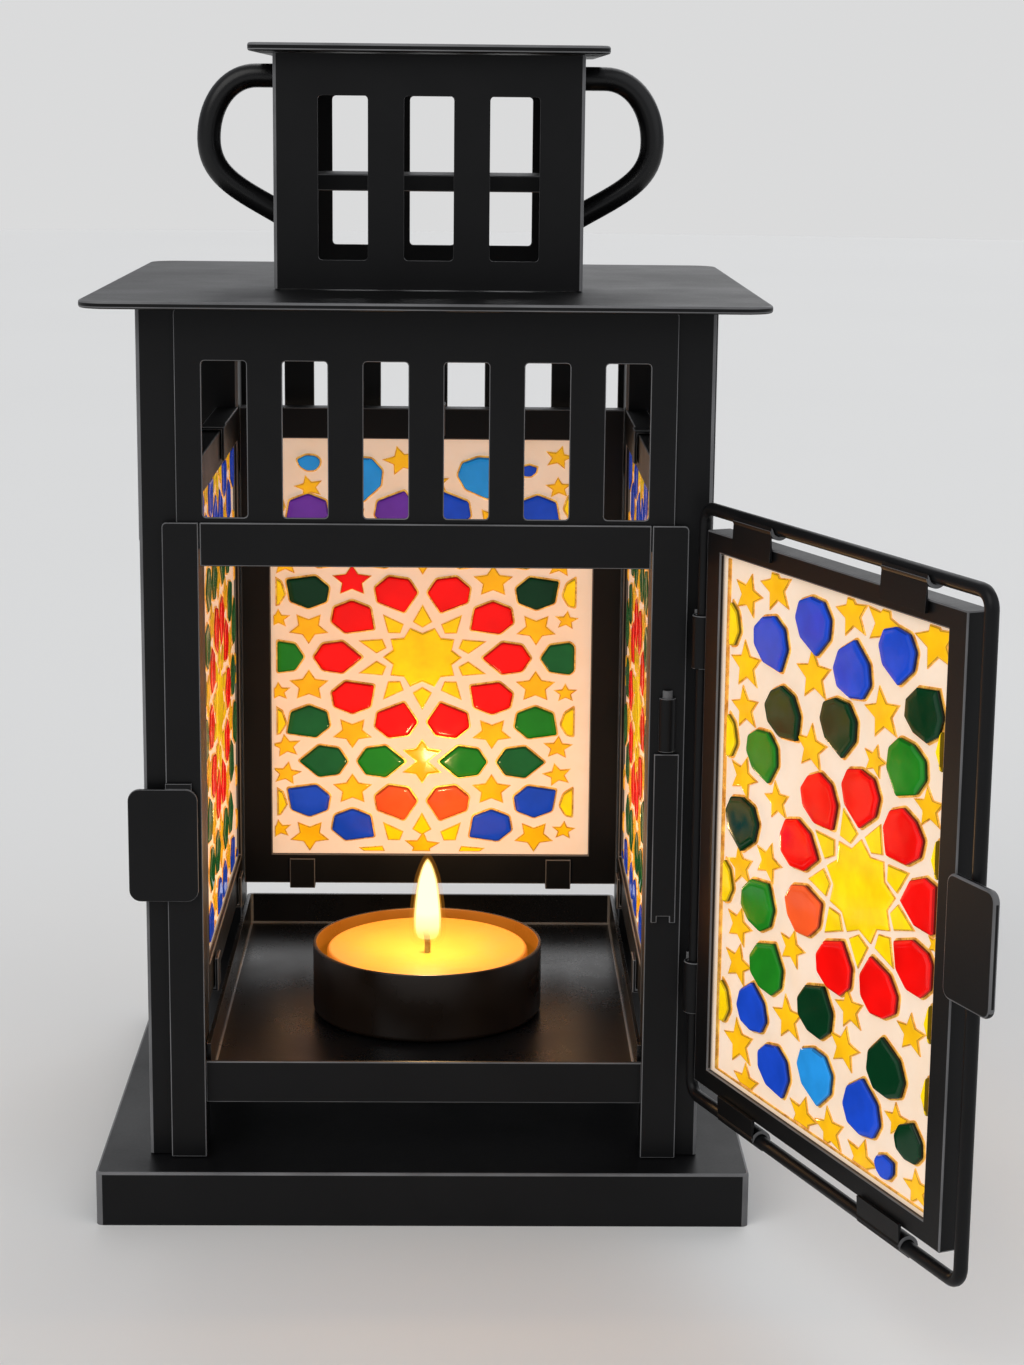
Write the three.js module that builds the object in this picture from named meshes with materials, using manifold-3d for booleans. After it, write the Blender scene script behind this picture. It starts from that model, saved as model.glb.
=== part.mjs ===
// Moroccan mosaic lantern: a square steel candle lantern glazed with four panes of rosette mosaic.
// Millimetres, +Z up, origin at the middle of the plinth's underside. The door is on the front (-Y),
// hangs on the right post and stands open.

import * as THREE from "three";
import { mergeVertices } from "three/addons/utils/BufferGeometryUtils.js";
import Module from "manifold-3d";

const wasm = await Module();
wasm.setup();

// Fits
const seat = 0.3; // gap between a piece and what carries it
const runningFit = 0.08; // radial clearance of the hinge rod in its knuckles
const keying = 0.4; // how deep joined shapes run into each other

// Plinth
const plinthOverhang = 12; // past the posts' outside faces
const plinthHeight = 13.5;
const plinthCorner = 4;
const plinthSheet = 1.5;
const basePlateThickness = 1.2;

// Corner posts and roof
const bodyWidth = 134; // over the outside faces of the posts
const postWidth = 13.5;
const postSheet = 1;
const postLength = 206.2;
const roofOverhang = 12.2;
const roofThickness = 1.8;
const roofCorner = 7;
const flueWidth = 66;

// Slotted fascia sheets under the roof
const fasciaSetback = 8.8; // from the post's outer face to the sheet's edge
const fasciaHeight = 56;
const fasciaSheet = 0.8;
const slotCount = 6;
const slotWidth = 10.4;
const slotHeight = 36.4;
const slotMargin = 6.25; // from the sheet's edge to the first slot
const slotTopMargin = 12.1;
const slotCorner = 1.2;

// Door portal on the front: two jambs and a header
const jambSetback = 5.5; // from the post's outer face to the jamb's edge
const jambWidth = 8.5;
const jambOverlap = 6.4; // of the jamb's upper end over the fascia
const jambCorner = 2.4;
const jambFace = 1; // thickness of the strip in front of the fascia
const headerHeight = 10.3;
const headerSheet = 0.8;

// Candle tray and the rails that carry it
const railRise = 13.5; // above the plinth
const railHeight = 10.5;
const railSheet = 1.2;
const ledgeDrop = 6.6; // from the rail's top edge to the top of its ledge
const ledgeWidth = 17;
const traySheet = 1;
const trayLip = 8.8;
const trayFrontLip = 4.6;

// Fixed glazed panels
const panelVent = 6.6; // gap between the tray's lip and the panel
const panelHeight = 136.2;
const sideBorder = 8.2; // of the sheet frame, beside the mosaic
const endBorder = 8.6;
const frameDepth = 6;
const frameSheet = 1.2;
const frameRim = 1;
const glassThickness = 2;
const groutThickness = 1.2;
const gemRelief = 1.3;

// Clips that hold the panes
const clipSheet = 0.9;
const clipWidth = 7.2;
const clipTab = 7.5;
const clipInset = 16.7; // from the frame's side to the middle of a clip

// Door
const openAngle = 112.5; // degrees from closed, as it stands
const hingeFromSide = 2.2; // hinge rod's axis inside the post's outer face
const doorUnderlap = 4.3; // of the lower rod's axis under the front rail's top
const doorOverlap = 5.4; // of the upper rod's axis over the header's top
const doorSideOverlap = 1.2; // of the free rod's axis over the left jamb
const rodDiameter = 3;
const rodBend = 5;
const doorHingeInset = 3.8; // from a rod's axis to the sheet frame
const doorFreeInset = 6;
const doorEndInset = 4.6;
const doorSideBorder = 6.6;
const doorEndBorder = 4.7;
const doorClipWidth = 17.5;
const doorSleeveWidth = 17;
const doorClipTab = 7.4;
const doorSleeveTab = 6.4;
const doorClipInset = 22.6; // from the frame's side to the middle of a clip
const knuckleLength = 12.6;
const knuckleWall = 1;
const knuckleWeb = 1.6;
const knuckleFoot = 4.6;
const upperKnuckleDrop = 31.6; // from the upper rod's axis
const lowerKnuckleRise = 26.8; // from the lower rod's axis

// Pull plate on the door, keeper plate on the left jamb, stop strip on the right jamb
const pullWidth = 17;
const pullHeight = 26;
const pullThickness = 1.5;
const pullRise = 1.5; // above the door's middle
const pullOverhang = 10.5; // past the free rod's axis
const plateCorner = 2.8;
const keeperWidth = 16.5;
const keeperHeight = 27.5;
const keeperThickness = 1;
const keeperDrop = 13; // below the pull plate's middle
const keeperOverhang = 3.4; // past the post's outer face
const backingThickness = 0.6;
const backingRise = 1.3;
const stopWidth = 5.9;
const stopHeight = 41.7;
const stopThickness = 1;
const stopDrop = 9.4; // of the stop's middle below the door's middle
const stopFootHeight = 1.6;
const sleeveRadius = 2;
const sleeveHeight = 13;
const pinHeadRadius = 1.2;
const pinHeadHeight = 1.8;

// Chimney, its cap, its baffle and its two handles
const chimneyWidth = 74.2;
const chimneyHeight = 55.3;
const chimneySheet = 1.2;
const windowCount = 3;
const windowWidth = 11.9;
const windowHeight = 38.7;
const windowMargin = 10.65; // from the chimney's corner to the first window
const windowSill = 6.9;
const windowCorner = 1.4;
const capWidth = 85.6;
const capThickness = 2;
const capCorner = 3.5;
const baffleWidth = 30;
const baffleSheet = 1;
const baffleLip = 4;
const baffleHeight = 26.6; // top of the baffle above the foot of the chimney
const handleTube = 6.2;
const handleReach = 18.4;
const handleTop = 50.1; // axis of the upper end above the foot of the chimney
const handleFoot = 15.6; // axis of the lower end above the foot of the chimney
const handleStraight = 6.4;

// Candle
const candleForward = 10; // of the middle of the tray
const cupRadius = 30;
const cupHeight = 18.2;
const cupSheet = 0.8;
const waxRadius = 26.4;
const waxHeight = 15.4;
const wickRadius = 0.6;
const wickLength = 4.6;
const wickLean = 0.9;

// Rosette pattern: ten-fold stars on a lattice, drawn out sideways
const tileEdgeAcross = 15.1; // edge of one tile of the hidden grid, across the fixed panes
const tileEdgeUp = 11.75;
const doorTileAcross = 16;
const doorTileUp = 12.4;
const rosetteShift = -2.5; // of the main rosette from the middle of a fixed pane
const rosetteRise = -1.9;
const doorRosetteShift = 17.2;
const doorRosetteRise = -0.7;
const bareStrip = 3; // plain grout at one edge of a fixed pane
const doorBareStrip = 0;
const strapAngle = 62; // degrees between a strap and the tile edge that it crosses
const strapWidth = 2.2;
const gemBevel = 0.9;
const paneMargin = 0.6;
const smallestGem = 8; // square millimetres

// Heights and planes that follow from the sizes above
const half = bodyWidth / 2;
const postInner = half - postWidth;
const plinthWidth = bodyWidth + 2 * plinthOverhang;
const roofWidth = bodyWidth + 2 * roofOverhang;
const fasciaWidth = bodyWidth - 2 * fasciaSetback;
const slotPitch = (fasciaWidth - 2 * slotMargin - slotWidth) / (slotCount - 1);
const windowPitch = (chimneyWidth - 2 * windowMargin - windowWidth) / (windowCount - 1);
const portalWidth = bodyWidth - 2 * (jambSetback + jambWidth);
const railBottom = plinthHeight + railRise;
const postFoot = plinthHeight + seat;
const postTop = postFoot + postLength;
const roofBottom = postTop + seat;
const roofTop = roofBottom + roofThickness;
const chimneyFoot = roofTop + seat;
const chimneyTop = chimneyFoot + chimneyHeight;
const capBottom = chimneyTop + seat;
const fasciaTop = roofBottom - seat;
const fasciaBottom = fasciaTop - fasciaHeight;
const fasciaOut = half + seat + fasciaSheet;
const portalBack = fasciaOut + seat; // plane behind the header and the jambs' upper ends
const jambOut = portalBack + jambFace;
const jambTop = fasciaBottom + jambOverlap;
const railTop = railBottom + railHeight;
const ledgeTop = railTop - ledgeDrop;
const trayBottom = ledgeTop + seat;
const trayTop = trayBottom + traySheet;
const between = 2 * (postInner - seat); // clear length of what stands between two posts
const panelPlane = postInner;
const panelBottom = trayTop + trayLip + panelVent;
const paneWidth = between - 2 * sideBorder;
const paneHeight = panelHeight - 2 * endBorder;
const rodRadius = rodDiameter / 2;
const keeperOut = jambOut + seat + backingThickness + keeperThickness;
const hingeX = half - hingeFromSide;
const hingeY = -(keeperOut + seat + pullThickness + seat + rodRadius);
const doorReach = hingeX + portalWidth / 2 + doorSideOverlap;
const doorBottom = railTop - doorUnderlap;
const doorTop = jambTop + doorOverlap;
const doorMiddle = (doorBottom + doorTop) / 2;
const upperKnuckle = doorTop - upperKnuckleDrop;
const lowerKnuckle = doorBottom + lowerKnuckleRise;
const pullCentre = doorMiddle + pullRise;
const keeperCentre = pullCentre - keeperDrop;
const stopBottom = doorMiddle - stopDrop - stopHeight / 2;
const candleFoot = trayTop + seat;

// Finishes
const blackSteel = new THREE.MeshStandardMaterial({
  color: 0x17181a,
  roughness: 0.42,
  metalness: 0.6,
});
const clearGlass = new THREE.MeshStandardMaterial({
  color: 0xdfe8e6,
  roughness: 0.05,
  metalness: 0,
  transparent: true,
  opacity: 0.35,
});
const mosaicGlass = new THREE.MeshStandardMaterial({
  color: 0xe9c98f,
  roughness: 0.25,
  metalness: 0,
});
const cupSteel = new THREE.MeshStandardMaterial({
  color: 0x0f0f10,
  roughness: 0.5,
  metalness: 0.5,
});
const waxCream = new THREE.MeshStandardMaterial({
  color: 0xf2c860,
  roughness: 0.45,
  metalness: 0,
});
const wickCotton = new THREE.MeshStandardMaterial({
  color: 0x2a2018,
  roughness: 0.9,
  metalness: 0,
});

const lantern = new THREE.Group();
lantern.name = "moroccan_mosaic_lantern";

// Solids

function toSolid(geometry) {
  const bare = geometry.index ? geometry.toNonIndexed() : geometry.clone();
  bare.deleteAttribute("normal");
  bare.deleteAttribute("uv");
  const merged = mergeVertices(bare, 1e-4);
  return new wasm.Manifold(
    new wasm.Mesh({
      numProp: 3,
      vertProperties: merged.attributes.position.array,
      triVerts: new Uint32Array(merged.index.array),
    }),
  );
}

function toGeometry(solid) {
  const mesh = solid.getMesh();
  const geometry = new THREE.BufferGeometry();
  geometry.setAttribute("position", new THREE.BufferAttribute(mesh.vertProperties, 3));
  geometry.setIndex(new THREE.BufferAttribute(mesh.triVerts, 1));
  geometry.computeVertexNormals();
  return geometry;
}

function join(first, ...others) {
  const joined = others.reduce((solid, other) => solid.add(toSolid(other)), toSolid(first));
  return toGeometry(joined);
}

function cut(first, ...tools) {
  const left = tools.reduce((solid, tool) => solid.subtract(toSolid(tool)), toSolid(first));
  return toGeometry(left);
}

function box(x0, x1, y0, y1, z0, z1) {
  const geometry = new THREE.BoxGeometry(x1 - x0, y1 - y0, z1 - z0);
  return geometry.translate((x0 + x1) / 2, (y0 + y1) / 2, (z0 + z1) / 2);
}

function roundedRectangle(width, height, radius, x = 0, y = 0) {
  const right = x + width / 2;
  const left = x - width / 2;
  const top = y + height / 2;
  const bottom = y - height / 2;
  const shape = new THREE.Shape();
  shape.absarc(right - radius, top - radius, radius, 0, Math.PI / 2);
  shape.absarc(left + radius, top - radius, radius, Math.PI / 2, Math.PI);
  shape.absarc(left + radius, bottom + radius, radius, Math.PI, 1.5 * Math.PI);
  shape.absarc(right - radius, bottom + radius, radius, 1.5 * Math.PI, 2 * Math.PI);
  return shape;
}

function lying(shape, bottom, top, curveSegments = 3) {
  const geometry = new THREE.ExtrudeGeometry(shape, {
    depth: top - bottom,
    bevelEnabled: false,
    curveSegments,
  });
  return geometry.translate(0, 0, bottom);
}

// A shape drawn in X and Z, with its thickness from front to back along Y.
function standing(shape, front, back, curveSegments = 3) {
  const geometry = new THREE.ExtrudeGeometry(shape, {
    depth: back - front,
    bevelEnabled: false,
    curveSegments,
  });
  return geometry.rotateX(Math.PI / 2).translate(0, back, 0);
}

// A profile drawn in Y and Z, drawn out along X about the given middle.
function alongX(profile, middle, width, curveSegments = 3) {
  const geometry = new THREE.ExtrudeGeometry(profile, {
    depth: width,
    bevelEnabled: false,
    curveSegments,
  });
  geometry.rotateX(Math.PI / 2);
  geometry.rotateZ(Math.PI / 2);
  return geometry.translate(middle - width / 2, 0, 0);
}

function profile(points) {
  return new THREE.Shape(points.map(([y, z]) => new THREE.Vector2(y, z)));
}

function piece(name, geometry, material, parent = lantern) {
  const mesh = new THREE.Mesh(geometry, material);
  mesh.name = name;
  parent.add(mesh);
  return mesh;
}

// The four sides, each built as the back side and turned into place.
const sides = [
  ["back", 0],
  ["left", Math.PI / 2],
  ["front", Math.PI],
  ["right", -Math.PI / 2],
];

function sideGroup(turn) {
  const group = new THREE.Group();
  group.rotation.z = turn;
  lantern.add(group);
  return group;
}

// Plinth: a folded sheet tray turned upside down over a closing plate
function buildPlinth() {
  const inner = plinthWidth - 2 * plinthSheet;
  const shell = cut(
    lying(roundedRectangle(plinthWidth, plinthWidth, plinthCorner), 0, plinthHeight),
    lying(
      roundedRectangle(inner, inner, plinthCorner - plinthSheet),
      -1,
      plinthHeight - plinthSheet,
    ),
  );
  piece("plinth", shell, blackSteel);
  const plate = inner - 2 * seat;
  const closing = roundedRectangle(plate, plate, plinthCorner - plinthSheet);
  piece("plinth_base_plate", lying(closing, 0, basePlateThickness), blackSteel);
}

// Posts: square tube, open at both ends
function buildPosts() {
  const centre = half - postWidth / 2;
  const bore = postWidth - 2 * postSheet;
  for (const [name, x, y] of [
    ["post_front_left", -centre, -centre],
    ["post_front_right", centre, -centre],
    ["post_back_left", -centre, centre],
    ["post_back_right", centre, centre],
  ]) {
    const outline = roundedRectangle(postWidth, postWidth, postSheet, x, y);
    outline.holes.push(roundedRectangle(bore, bore, postSheet / 2, x, y));
    piece(name, lying(outline, postFoot, postTop, 2), blackSteel);
  }
}

function buildFascias() {
  const slotMiddle = fasciaTop - slotTopMargin - slotHeight / 2;
  for (const [side, turn] of sides) {
    const sheet = roundedRectangle(
      fasciaWidth,
      fasciaHeight,
      slotCorner,
      0,
      (fasciaTop + fasciaBottom) / 2,
    );
    for (let i = 0; i < slotCount; i++) {
      const x = (i - (slotCount - 1) / 2) * slotPitch;
      sheet.holes.push(roundedRectangle(slotWidth, slotHeight, slotCorner, x, slotMiddle));
    }
    piece(
      "fascia_" + side,
      standing(sheet, half + seat, fasciaOut, 2),
      blackSteel,
      sideGroup(turn),
    );
  }
}

// Jamb: a strip on the post whose upper end steps forward over the fascia
function jambGeometry(side) {
  const outer = portalWidth / 2 + jambWidth;
  const outline = new THREE.Shape();
  outline.moveTo(side * (portalWidth / 2), postFoot);
  outline.lineTo(side * outer, postFoot);
  outline.lineTo(side * outer, jambTop - jambCorner);
  outline.absarc(
    side * (outer - jambCorner),
    jambTop - jambCorner,
    jambCorner,
    side > 0 ? 0 : Math.PI,
    Math.PI / 2,
    side < 0,
  );
  outline.lineTo(side * (portalWidth / 2), jambTop);
  const face = standing(outline, -jambOut, -portalBack);
  const stem = box(
    Math.min(side * (portalWidth / 2), side * outer),
    Math.max(side * (portalWidth / 2), side * outer),
    -portalBack - keying,
    -half - seat,
    postFoot,
    fasciaBottom - seat,
  );
  return join(face, stem);
}

function buildPortal() {
  piece("jamb_left", jambGeometry(-1), blackSteel);
  piece("jamb_right", jambGeometry(1), blackSteel);
  const length = portalWidth - 2 * seat;
  const header = box(
    -length / 2,
    length / 2,
    -portalBack - headerSheet,
    -portalBack,
    jambTop - headerHeight,
    jambTop,
  );
  piece("header_rail", header, blackSteel);
}

// Rails between the posts, each a strip with a ledge for the tray
function buildRails() {
  for (const [side, turn] of sides) {
    const length = between;
    const strip = box(
      -length / 2,
      length / 2,
      half - railSheet,
      half,
      railBottom,
      railTop,
    );
    const reach = half - ledgeWidth;
    const along = side === "left" || side === "right" ? between : 2 * (reach - seat);
    const ledge = box(
      -along / 2,
      along / 2,
      reach,
      half - railSheet + keying,
      ledgeTop - railSheet,
      ledgeTop,
    );
    piece("rail_" + side, join(strip, ledge), blackSteel, sideGroup(turn));
  }
}

function buildTray() {
  const halfLength = half - railSheet - seat;
  const halfWidth = postInner - seat;
  const lipTop = trayTop + trayLip;
  const pan = cut(
    box(-halfWidth, halfWidth, -halfLength, halfLength, trayBottom, lipTop),
    box(
      -halfWidth + traySheet,
      halfWidth - traySheet,
      -halfLength + traySheet,
      halfLength - traySheet,
      trayTop,
      lipTop + 1,
    ),
    box(
      -halfWidth - 1,
      halfWidth + 1,
      -halfLength - 1,
      -halfLength + traySheet + keying,
      trayTop + trayFrontLip,
      lipTop + 1,
    ),
  );
  piece("candle_tray", pan, blackSteel);
}

// Rosette pattern. The hidden grid has regular decagons and pentagons and long hexagons, all with
// edges of one length. Straps cross the middle of each edge, and the glass fills what they leave.

const tenth = Math.PI / 5;
const decagonRadius = 1 / (2 * Math.sin(tenth / 2));
const decagonApothem = 1 / (2 * Math.tan(tenth / 2));
const pentagonRadius = 1 / (2 * Math.sin(tenth));
const pentagonApothem = 1 / (2 * Math.tan(tenth));
const latticeStep = 2 * decagonRadius + 1;
const columnStep = latticeStep * Math.cos(tenth);
const rowStep = 2 * latticeStep * Math.sin(tenth);

function ring(x, y, radius, count, start) {
  return Array.from({ length: count }, (_, i) => {
    const angle = start + (2 * Math.PI * i) / count;
    return [x + radius * Math.cos(angle), y + radius * Math.sin(angle)];
  });
}

function gridTiles(columns, rows) {
  const tiles = [];
  const toPentagon = decagonApothem + pentagonApothem;
  const waist = decagonRadius / 2;
  const shoulder = rowStep / 2 - decagonApothem;
  for (let column = -columns; column <= columns; column++) {
    for (let row = -rows; row <= rows; row++) {
      const x = column * columnStep;
      const y = (row + (column % 2 ? 0.5 : 0)) * rowStep;
      tiles.push({ centre: [x, y], points: ring(x, y, decagonRadius, 10, 0) });
      for (const step of [1.5, 3.5, 6.5, 8.5]) {
        const angle = step * tenth;
        const px = x + toPentagon * Math.cos(angle);
        const py = y + toPentagon * Math.sin(angle);
        tiles.push({ centre: [px, py], points: ring(px, py, pentagonRadius, 5, angle) });
      }
      const hy = y + rowStep / 2;
      const points = [
        [x + waist, hy],
        [x + 0.5, hy + shoulder],
        [x - 0.5, hy + shoulder],
        [x - waist, hy],
        [x - 0.5, hy - shoulder],
        [x + 0.5, hy - shoulder],
      ];
      tiles.push({ centre: [x, hy], points });
    }
  }
  return tiles;
}

// The point where the straps from the two edges at a corner meet inside the tile.
function strapCorner(before, corner, after) {
  const toBefore = [before[0] - corner[0], before[1] - corner[1]];
  const toAfter = [after[0] - corner[0], after[1] - corner[1]];
  const halfCorner = Math.acos(toBefore[0] * toAfter[0] + toBefore[1] * toAfter[1]) / 2;
  const strap = THREE.MathUtils.degToRad(strapAngle);
  const reach = (0.5 * Math.sin(strap)) / Math.sin(strap + halfCorner);
  const x = toBefore[0] + toAfter[0];
  const y = toBefore[1] + toAfter[1];
  const length = Math.hypot(x, y);
  return [corner[0] + (reach * x) / length, corner[1] + (reach * y) / length];
}

function middle(a, b) {
  return [(a[0] + b[0]) / 2, (a[1] + b[1]) / 2];
}

// The cells of the pattern in grid units: gems round the tile corners, stars inside the tiles.
function patternCells(columns, rows) {
  const gems = new Map();
  const stars = [];
  for (const { points } of gridTiles(columns, rows)) {
    const count = points.length;
    const at = (i) => points[(i + count) % count];
    const corners = points.map((p, i) => strapCorner(at(i - 1), p, at(i + 1)));
    const middles = points.map((p, i) => middle(p, at(i + 1)));
    points.forEach((p, i) => {
      const key = Math.round(p[0] * 100) + "," + Math.round(p[1] * 100);
      if (!gems.has(key)) gems.set(key, { at: p, marks: [] });
      const before = middles[(i + count - 1) % count];
      gems.get(key).marks.push(corners[i], before, middles[i]);
    });
    if (count === 10) {
      const star = roseHeart(points, corners, middles);
      stars.push(star);
    } else {
      stars.push(corners.flatMap((c, i) => [c, middles[i]]));
    }
  }
  return { gems: [...gems.values()].map(gemOutline), stars };
}

// The ten-pointed heart of a rosette, inside the ring of small kites.
function roseHeart(points, corners, middles) {
  const centre = middle(points[0], points[5]);
  const notches = corners.map((c, i) => {
    const from = middles[(i + 9) % 10];
    const axis = [middles[i][0] - centre[0], middles[i][1] - centre[1]];
    const step = [c[0] - from[0], c[1] - from[1]];
    const off = [c[0] - centre[0], c[1] - centre[1]];
    const along =
      -(off[0] * axis[1] - off[1] * axis[0]) / (step[0] * axis[1] - step[1] * axis[0]);
    return [c[0] + along * step[0], c[1] + along * step[1]];
  });
  return corners.flatMap((c, i) => [c, notches[i]]);
}

function gemOutline({ at, marks }) {
  const turn = (p) => Math.atan2(p[1] - at[1], p[0] - at[0]);
  const sorted = marks.toSorted((a, b) => turn(a) - turn(b));
  return sorted.filter((p, i) => {
    const next = sorted[(i + 1) % sorted.length];
    return Math.hypot(p[0] - next[0], p[1] - next[1]) > 0.01;
  });
}

function surface(points) {
  return points.reduce((sum, [x, y], i) => {
    const [nx, ny] = points[(i + 1) % points.length];
    return sum + (x * ny - nx * y) / 2;
  }, 0);
}

// Each edge moved inwards by the same distance, for an outline that runs anticlockwise.
function inset(points, distance) {
  const edges = points.map(([x, y], i) => {
    const [nx, ny] = points[(i + 1) % points.length];
    const length = Math.hypot(nx - x, ny - y);
    const dx = (nx - x) / length;
    const dy = (ny - y) / length;
    return { x: x - dy * distance, y: y + dx * distance, dx, dy };
  });
  return edges.map((b, i) => {
    const a = edges[(i + edges.length - 1) % edges.length];
    const cross = a.dx * b.dy - a.dy * b.dx;
    const t = ((b.x - a.x) * b.dy - (b.y - a.y) * b.dx) / cross;
    return [a.x + t * a.dx, a.y + t * a.dy];
  });
}

// What of an outline lies inside the rectangle.
function clipped(points, { left, right, bottom, top }) {
  const limits = [
    [1, 0, right],
    [-1, 0, -left],
    [0, 1, top],
    [0, -1, -bottom],
  ];
  return limits.reduce((outline, [nx, ny, limit]) => {
    const depth = ([x, y]) => limit - nx * x - ny * y;
    return outline.flatMap((p, i) => {
      const q = outline[(i + 1) % outline.length];
      const dp = depth(p);
      const dq = depth(q);
      const kept = dp >= 0 ? [p] : [];
      if (dp * dq < 0) {
        const t = dp / (dp - dq);
        kept.push([p[0] + t * (q[0] - p[0]), p[1] + t * (q[1] - p[1])]);
      }
      return kept;
    });
  }, points);
}

// One slab of grout with the glass standing out of its inner face, at y = front.
function mosaicGeometry(plate, pane, pattern, slabFront) {
  const slab = box(
    -plate.width / 2,
    plate.width / 2,
    slabFront,
    slabFront + groutThickness,
    -plate.height / 2,
    plate.height / 2,
  );
  const columns = Math.ceil(pane.width / pattern.across / columnStep) + 1;
  const rows = Math.ceil(pane.height / pattern.up / rowStep) + 1;
  const placed = ([x, y]) => [pattern.shift + x * pattern.across, pattern.rise + y * pattern.up];
  const { gems, stars } = patternCells(columns, rows);
  const area = {
    left: -pane.width / 2 + paneMargin,
    right: pane.width / 2 - paneMargin - pattern.bare,
    bottom: -pane.height / 2 + paneMargin,
    top: pane.height / 2 - paneMargin,
  };
  const whole = (outline) =>
    outline.every(([x, y]) => x > area.left && x < area.right && y > area.bottom && y < area.top);
  const cells = [
    ...gems.map((gem) => clipped(gem.map(placed), area)),
    ...stars.map((star) => star.map(placed)).filter(whole),
  ];
  const relief = cells
    .filter((cell) => cell.length > 2 && surface(cell) > smallestGem)
    .map((cell) => [inset(cell, strapWidth / 2), inset(cell, strapWidth / 2 + gemBevel)])
    .filter(([foot, head]) => surface(foot) > smallestGem && surface(head) > 0)
    .filter(([foot, head]) => isSimple(foot) && isSimple(head));
  const raised = relief.flatMap(([foot, head]) =>
    frustumTriangles(foot, head, slabFront + keying, slabFront - gemRelief),
  );
  const geometry = new THREE.BufferGeometry();
  geometry.setAttribute("position", new THREE.Float32BufferAttribute(raised, 3));
  return join(slab, geometry);
}

// An inset outline is sound when each edge still runs the way it did.
function isSimple(points) {
  const contour = points.map(([x, y]) => new THREE.Vector2(x, y));
  const faces = THREE.ShapeUtils.triangulateShape(contour, []);
  const filled = faces.reduce(
    (sum, [a, b, c]) => sum + Math.abs(surface([points[a], points[b], points[c]])),
    0,
  );
  return Math.abs(filled - surface(points)) < 1e-3 && faces.length === points.length - 2;
}

function frustumTriangles(foot, head, footY, headY) {
  const contour = foot.map(([x, z]) => new THREE.Vector2(x, z));
  const faces = THREE.ShapeUtils.triangulateShape(contour, []);
  const low = (i) => [foot[i][0], footY, foot[i][1]];
  const high = (i) => [head[i][0], headY, head[i][1]];
  const triangles = [];
  for (const [a, b, c] of faces) {
    triangles.push(...high(a), ...high(b), ...high(c));
    triangles.push(...low(a), ...low(c), ...low(b));
  }
  foot.forEach((_, i) => {
    const j = (i + 1) % foot.length;
    triangles.push(...low(i), ...low(j), ...high(j));
    triangles.push(...low(i), ...high(j), ...high(i));
  });
  return triangles;
}

// A glazed panel: a sheet frame with a rim, and behind it the mosaic on its pane of clear glass.
// Its inner face lies at y = 0 and looks along -Y, and its middle is at the origin.
function glazedPanel(name, frame, pane, pattern, parent) {
  const halfW = frame.width / 2;
  const halfH = frame.height / 2;
  const pocketW = halfW - frameRim;
  const pocketH = halfH - frameRim;
  const casing = cut(
    box(-halfW, halfW, 0, frameDepth, -halfH, halfH),
    box(-pocketW, pocketW, frameSheet, frameDepth + 1, -pocketH, pocketH),
    box(
      -pane.width / 2,
      pane.width / 2,
      -1,
      frameSheet + 1,
      -pane.height / 2,
      pane.height / 2,
    ),
  );
  piece(name + "_frame", casing, blackSteel, parent);
  const plate = { width: 2 * (pocketW - seat), height: 2 * (pocketH - seat) };
  const slabFront = frameSheet + seat;
  const mosaic = mosaicGeometry(plate, pane, pattern, slabFront);
  piece(name + "_mosaic", mosaic, mosaicGlass, parent);
  const glassFront = slabFront + groutThickness + seat;
  const glass = box(
    -plate.width / 2,
    plate.width / 2,
    glassFront,
    glassFront + glassThickness,
    -plate.height / 2,
    plate.height / 2,
  );
  piece(name + "_glass", glass, clearGlass, parent);
}

// A clip bent round the edge of a panel frame, from its inner face to its back.
function frameClip(x, edge, way) {
  const front = -seat;
  const back = frameDepth + seat;
  const bend = edge + way * seat;
  const outline = profile([
    [front - clipSheet, edge - way * clipTab],
    [front - clipSheet, bend + way * clipSheet],
    [back + clipSheet, bend + way * clipSheet],
    [back + clipSheet, edge - (way * clipTab) / 2],
    [back, edge - (way * clipTab) / 2],
    [back, bend],
    [front, bend],
    [front, edge - way * clipTab],
  ]);
  return alongX(outline, x, clipWidth);
}

function buildPanels() {
  const frame = { width: between, height: panelHeight };
  const pane = { width: paneWidth, height: paneHeight };
  const pattern = {
    across: tileEdgeAcross,
    up: tileEdgeUp,
    shift: rosetteShift,
    rise: rosetteRise,
    bare: bareStrip,
  };
  for (const [side, turn] of sides) {
    if (side === "front") continue;
    const group = sideGroup(turn);
    const panel = new THREE.Group();
    panel.position.set(0, panelPlane, panelBottom + panelHeight / 2);
    group.add(panel);
    glazedPanel(side, frame, pane, pattern, panel);
    for (const [place, x, way] of [
      ["lower_a", clipInset - between / 2, -1],
      ["lower_b", between / 2 - clipInset, -1],
      ["upper", 0, 1],
    ]) {
      const clip = frameClip(x, (way * panelHeight) / 2, way);
      piece(side + "_clip_" + place, clip, blackSteel, panel);
    }
  }
}

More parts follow.
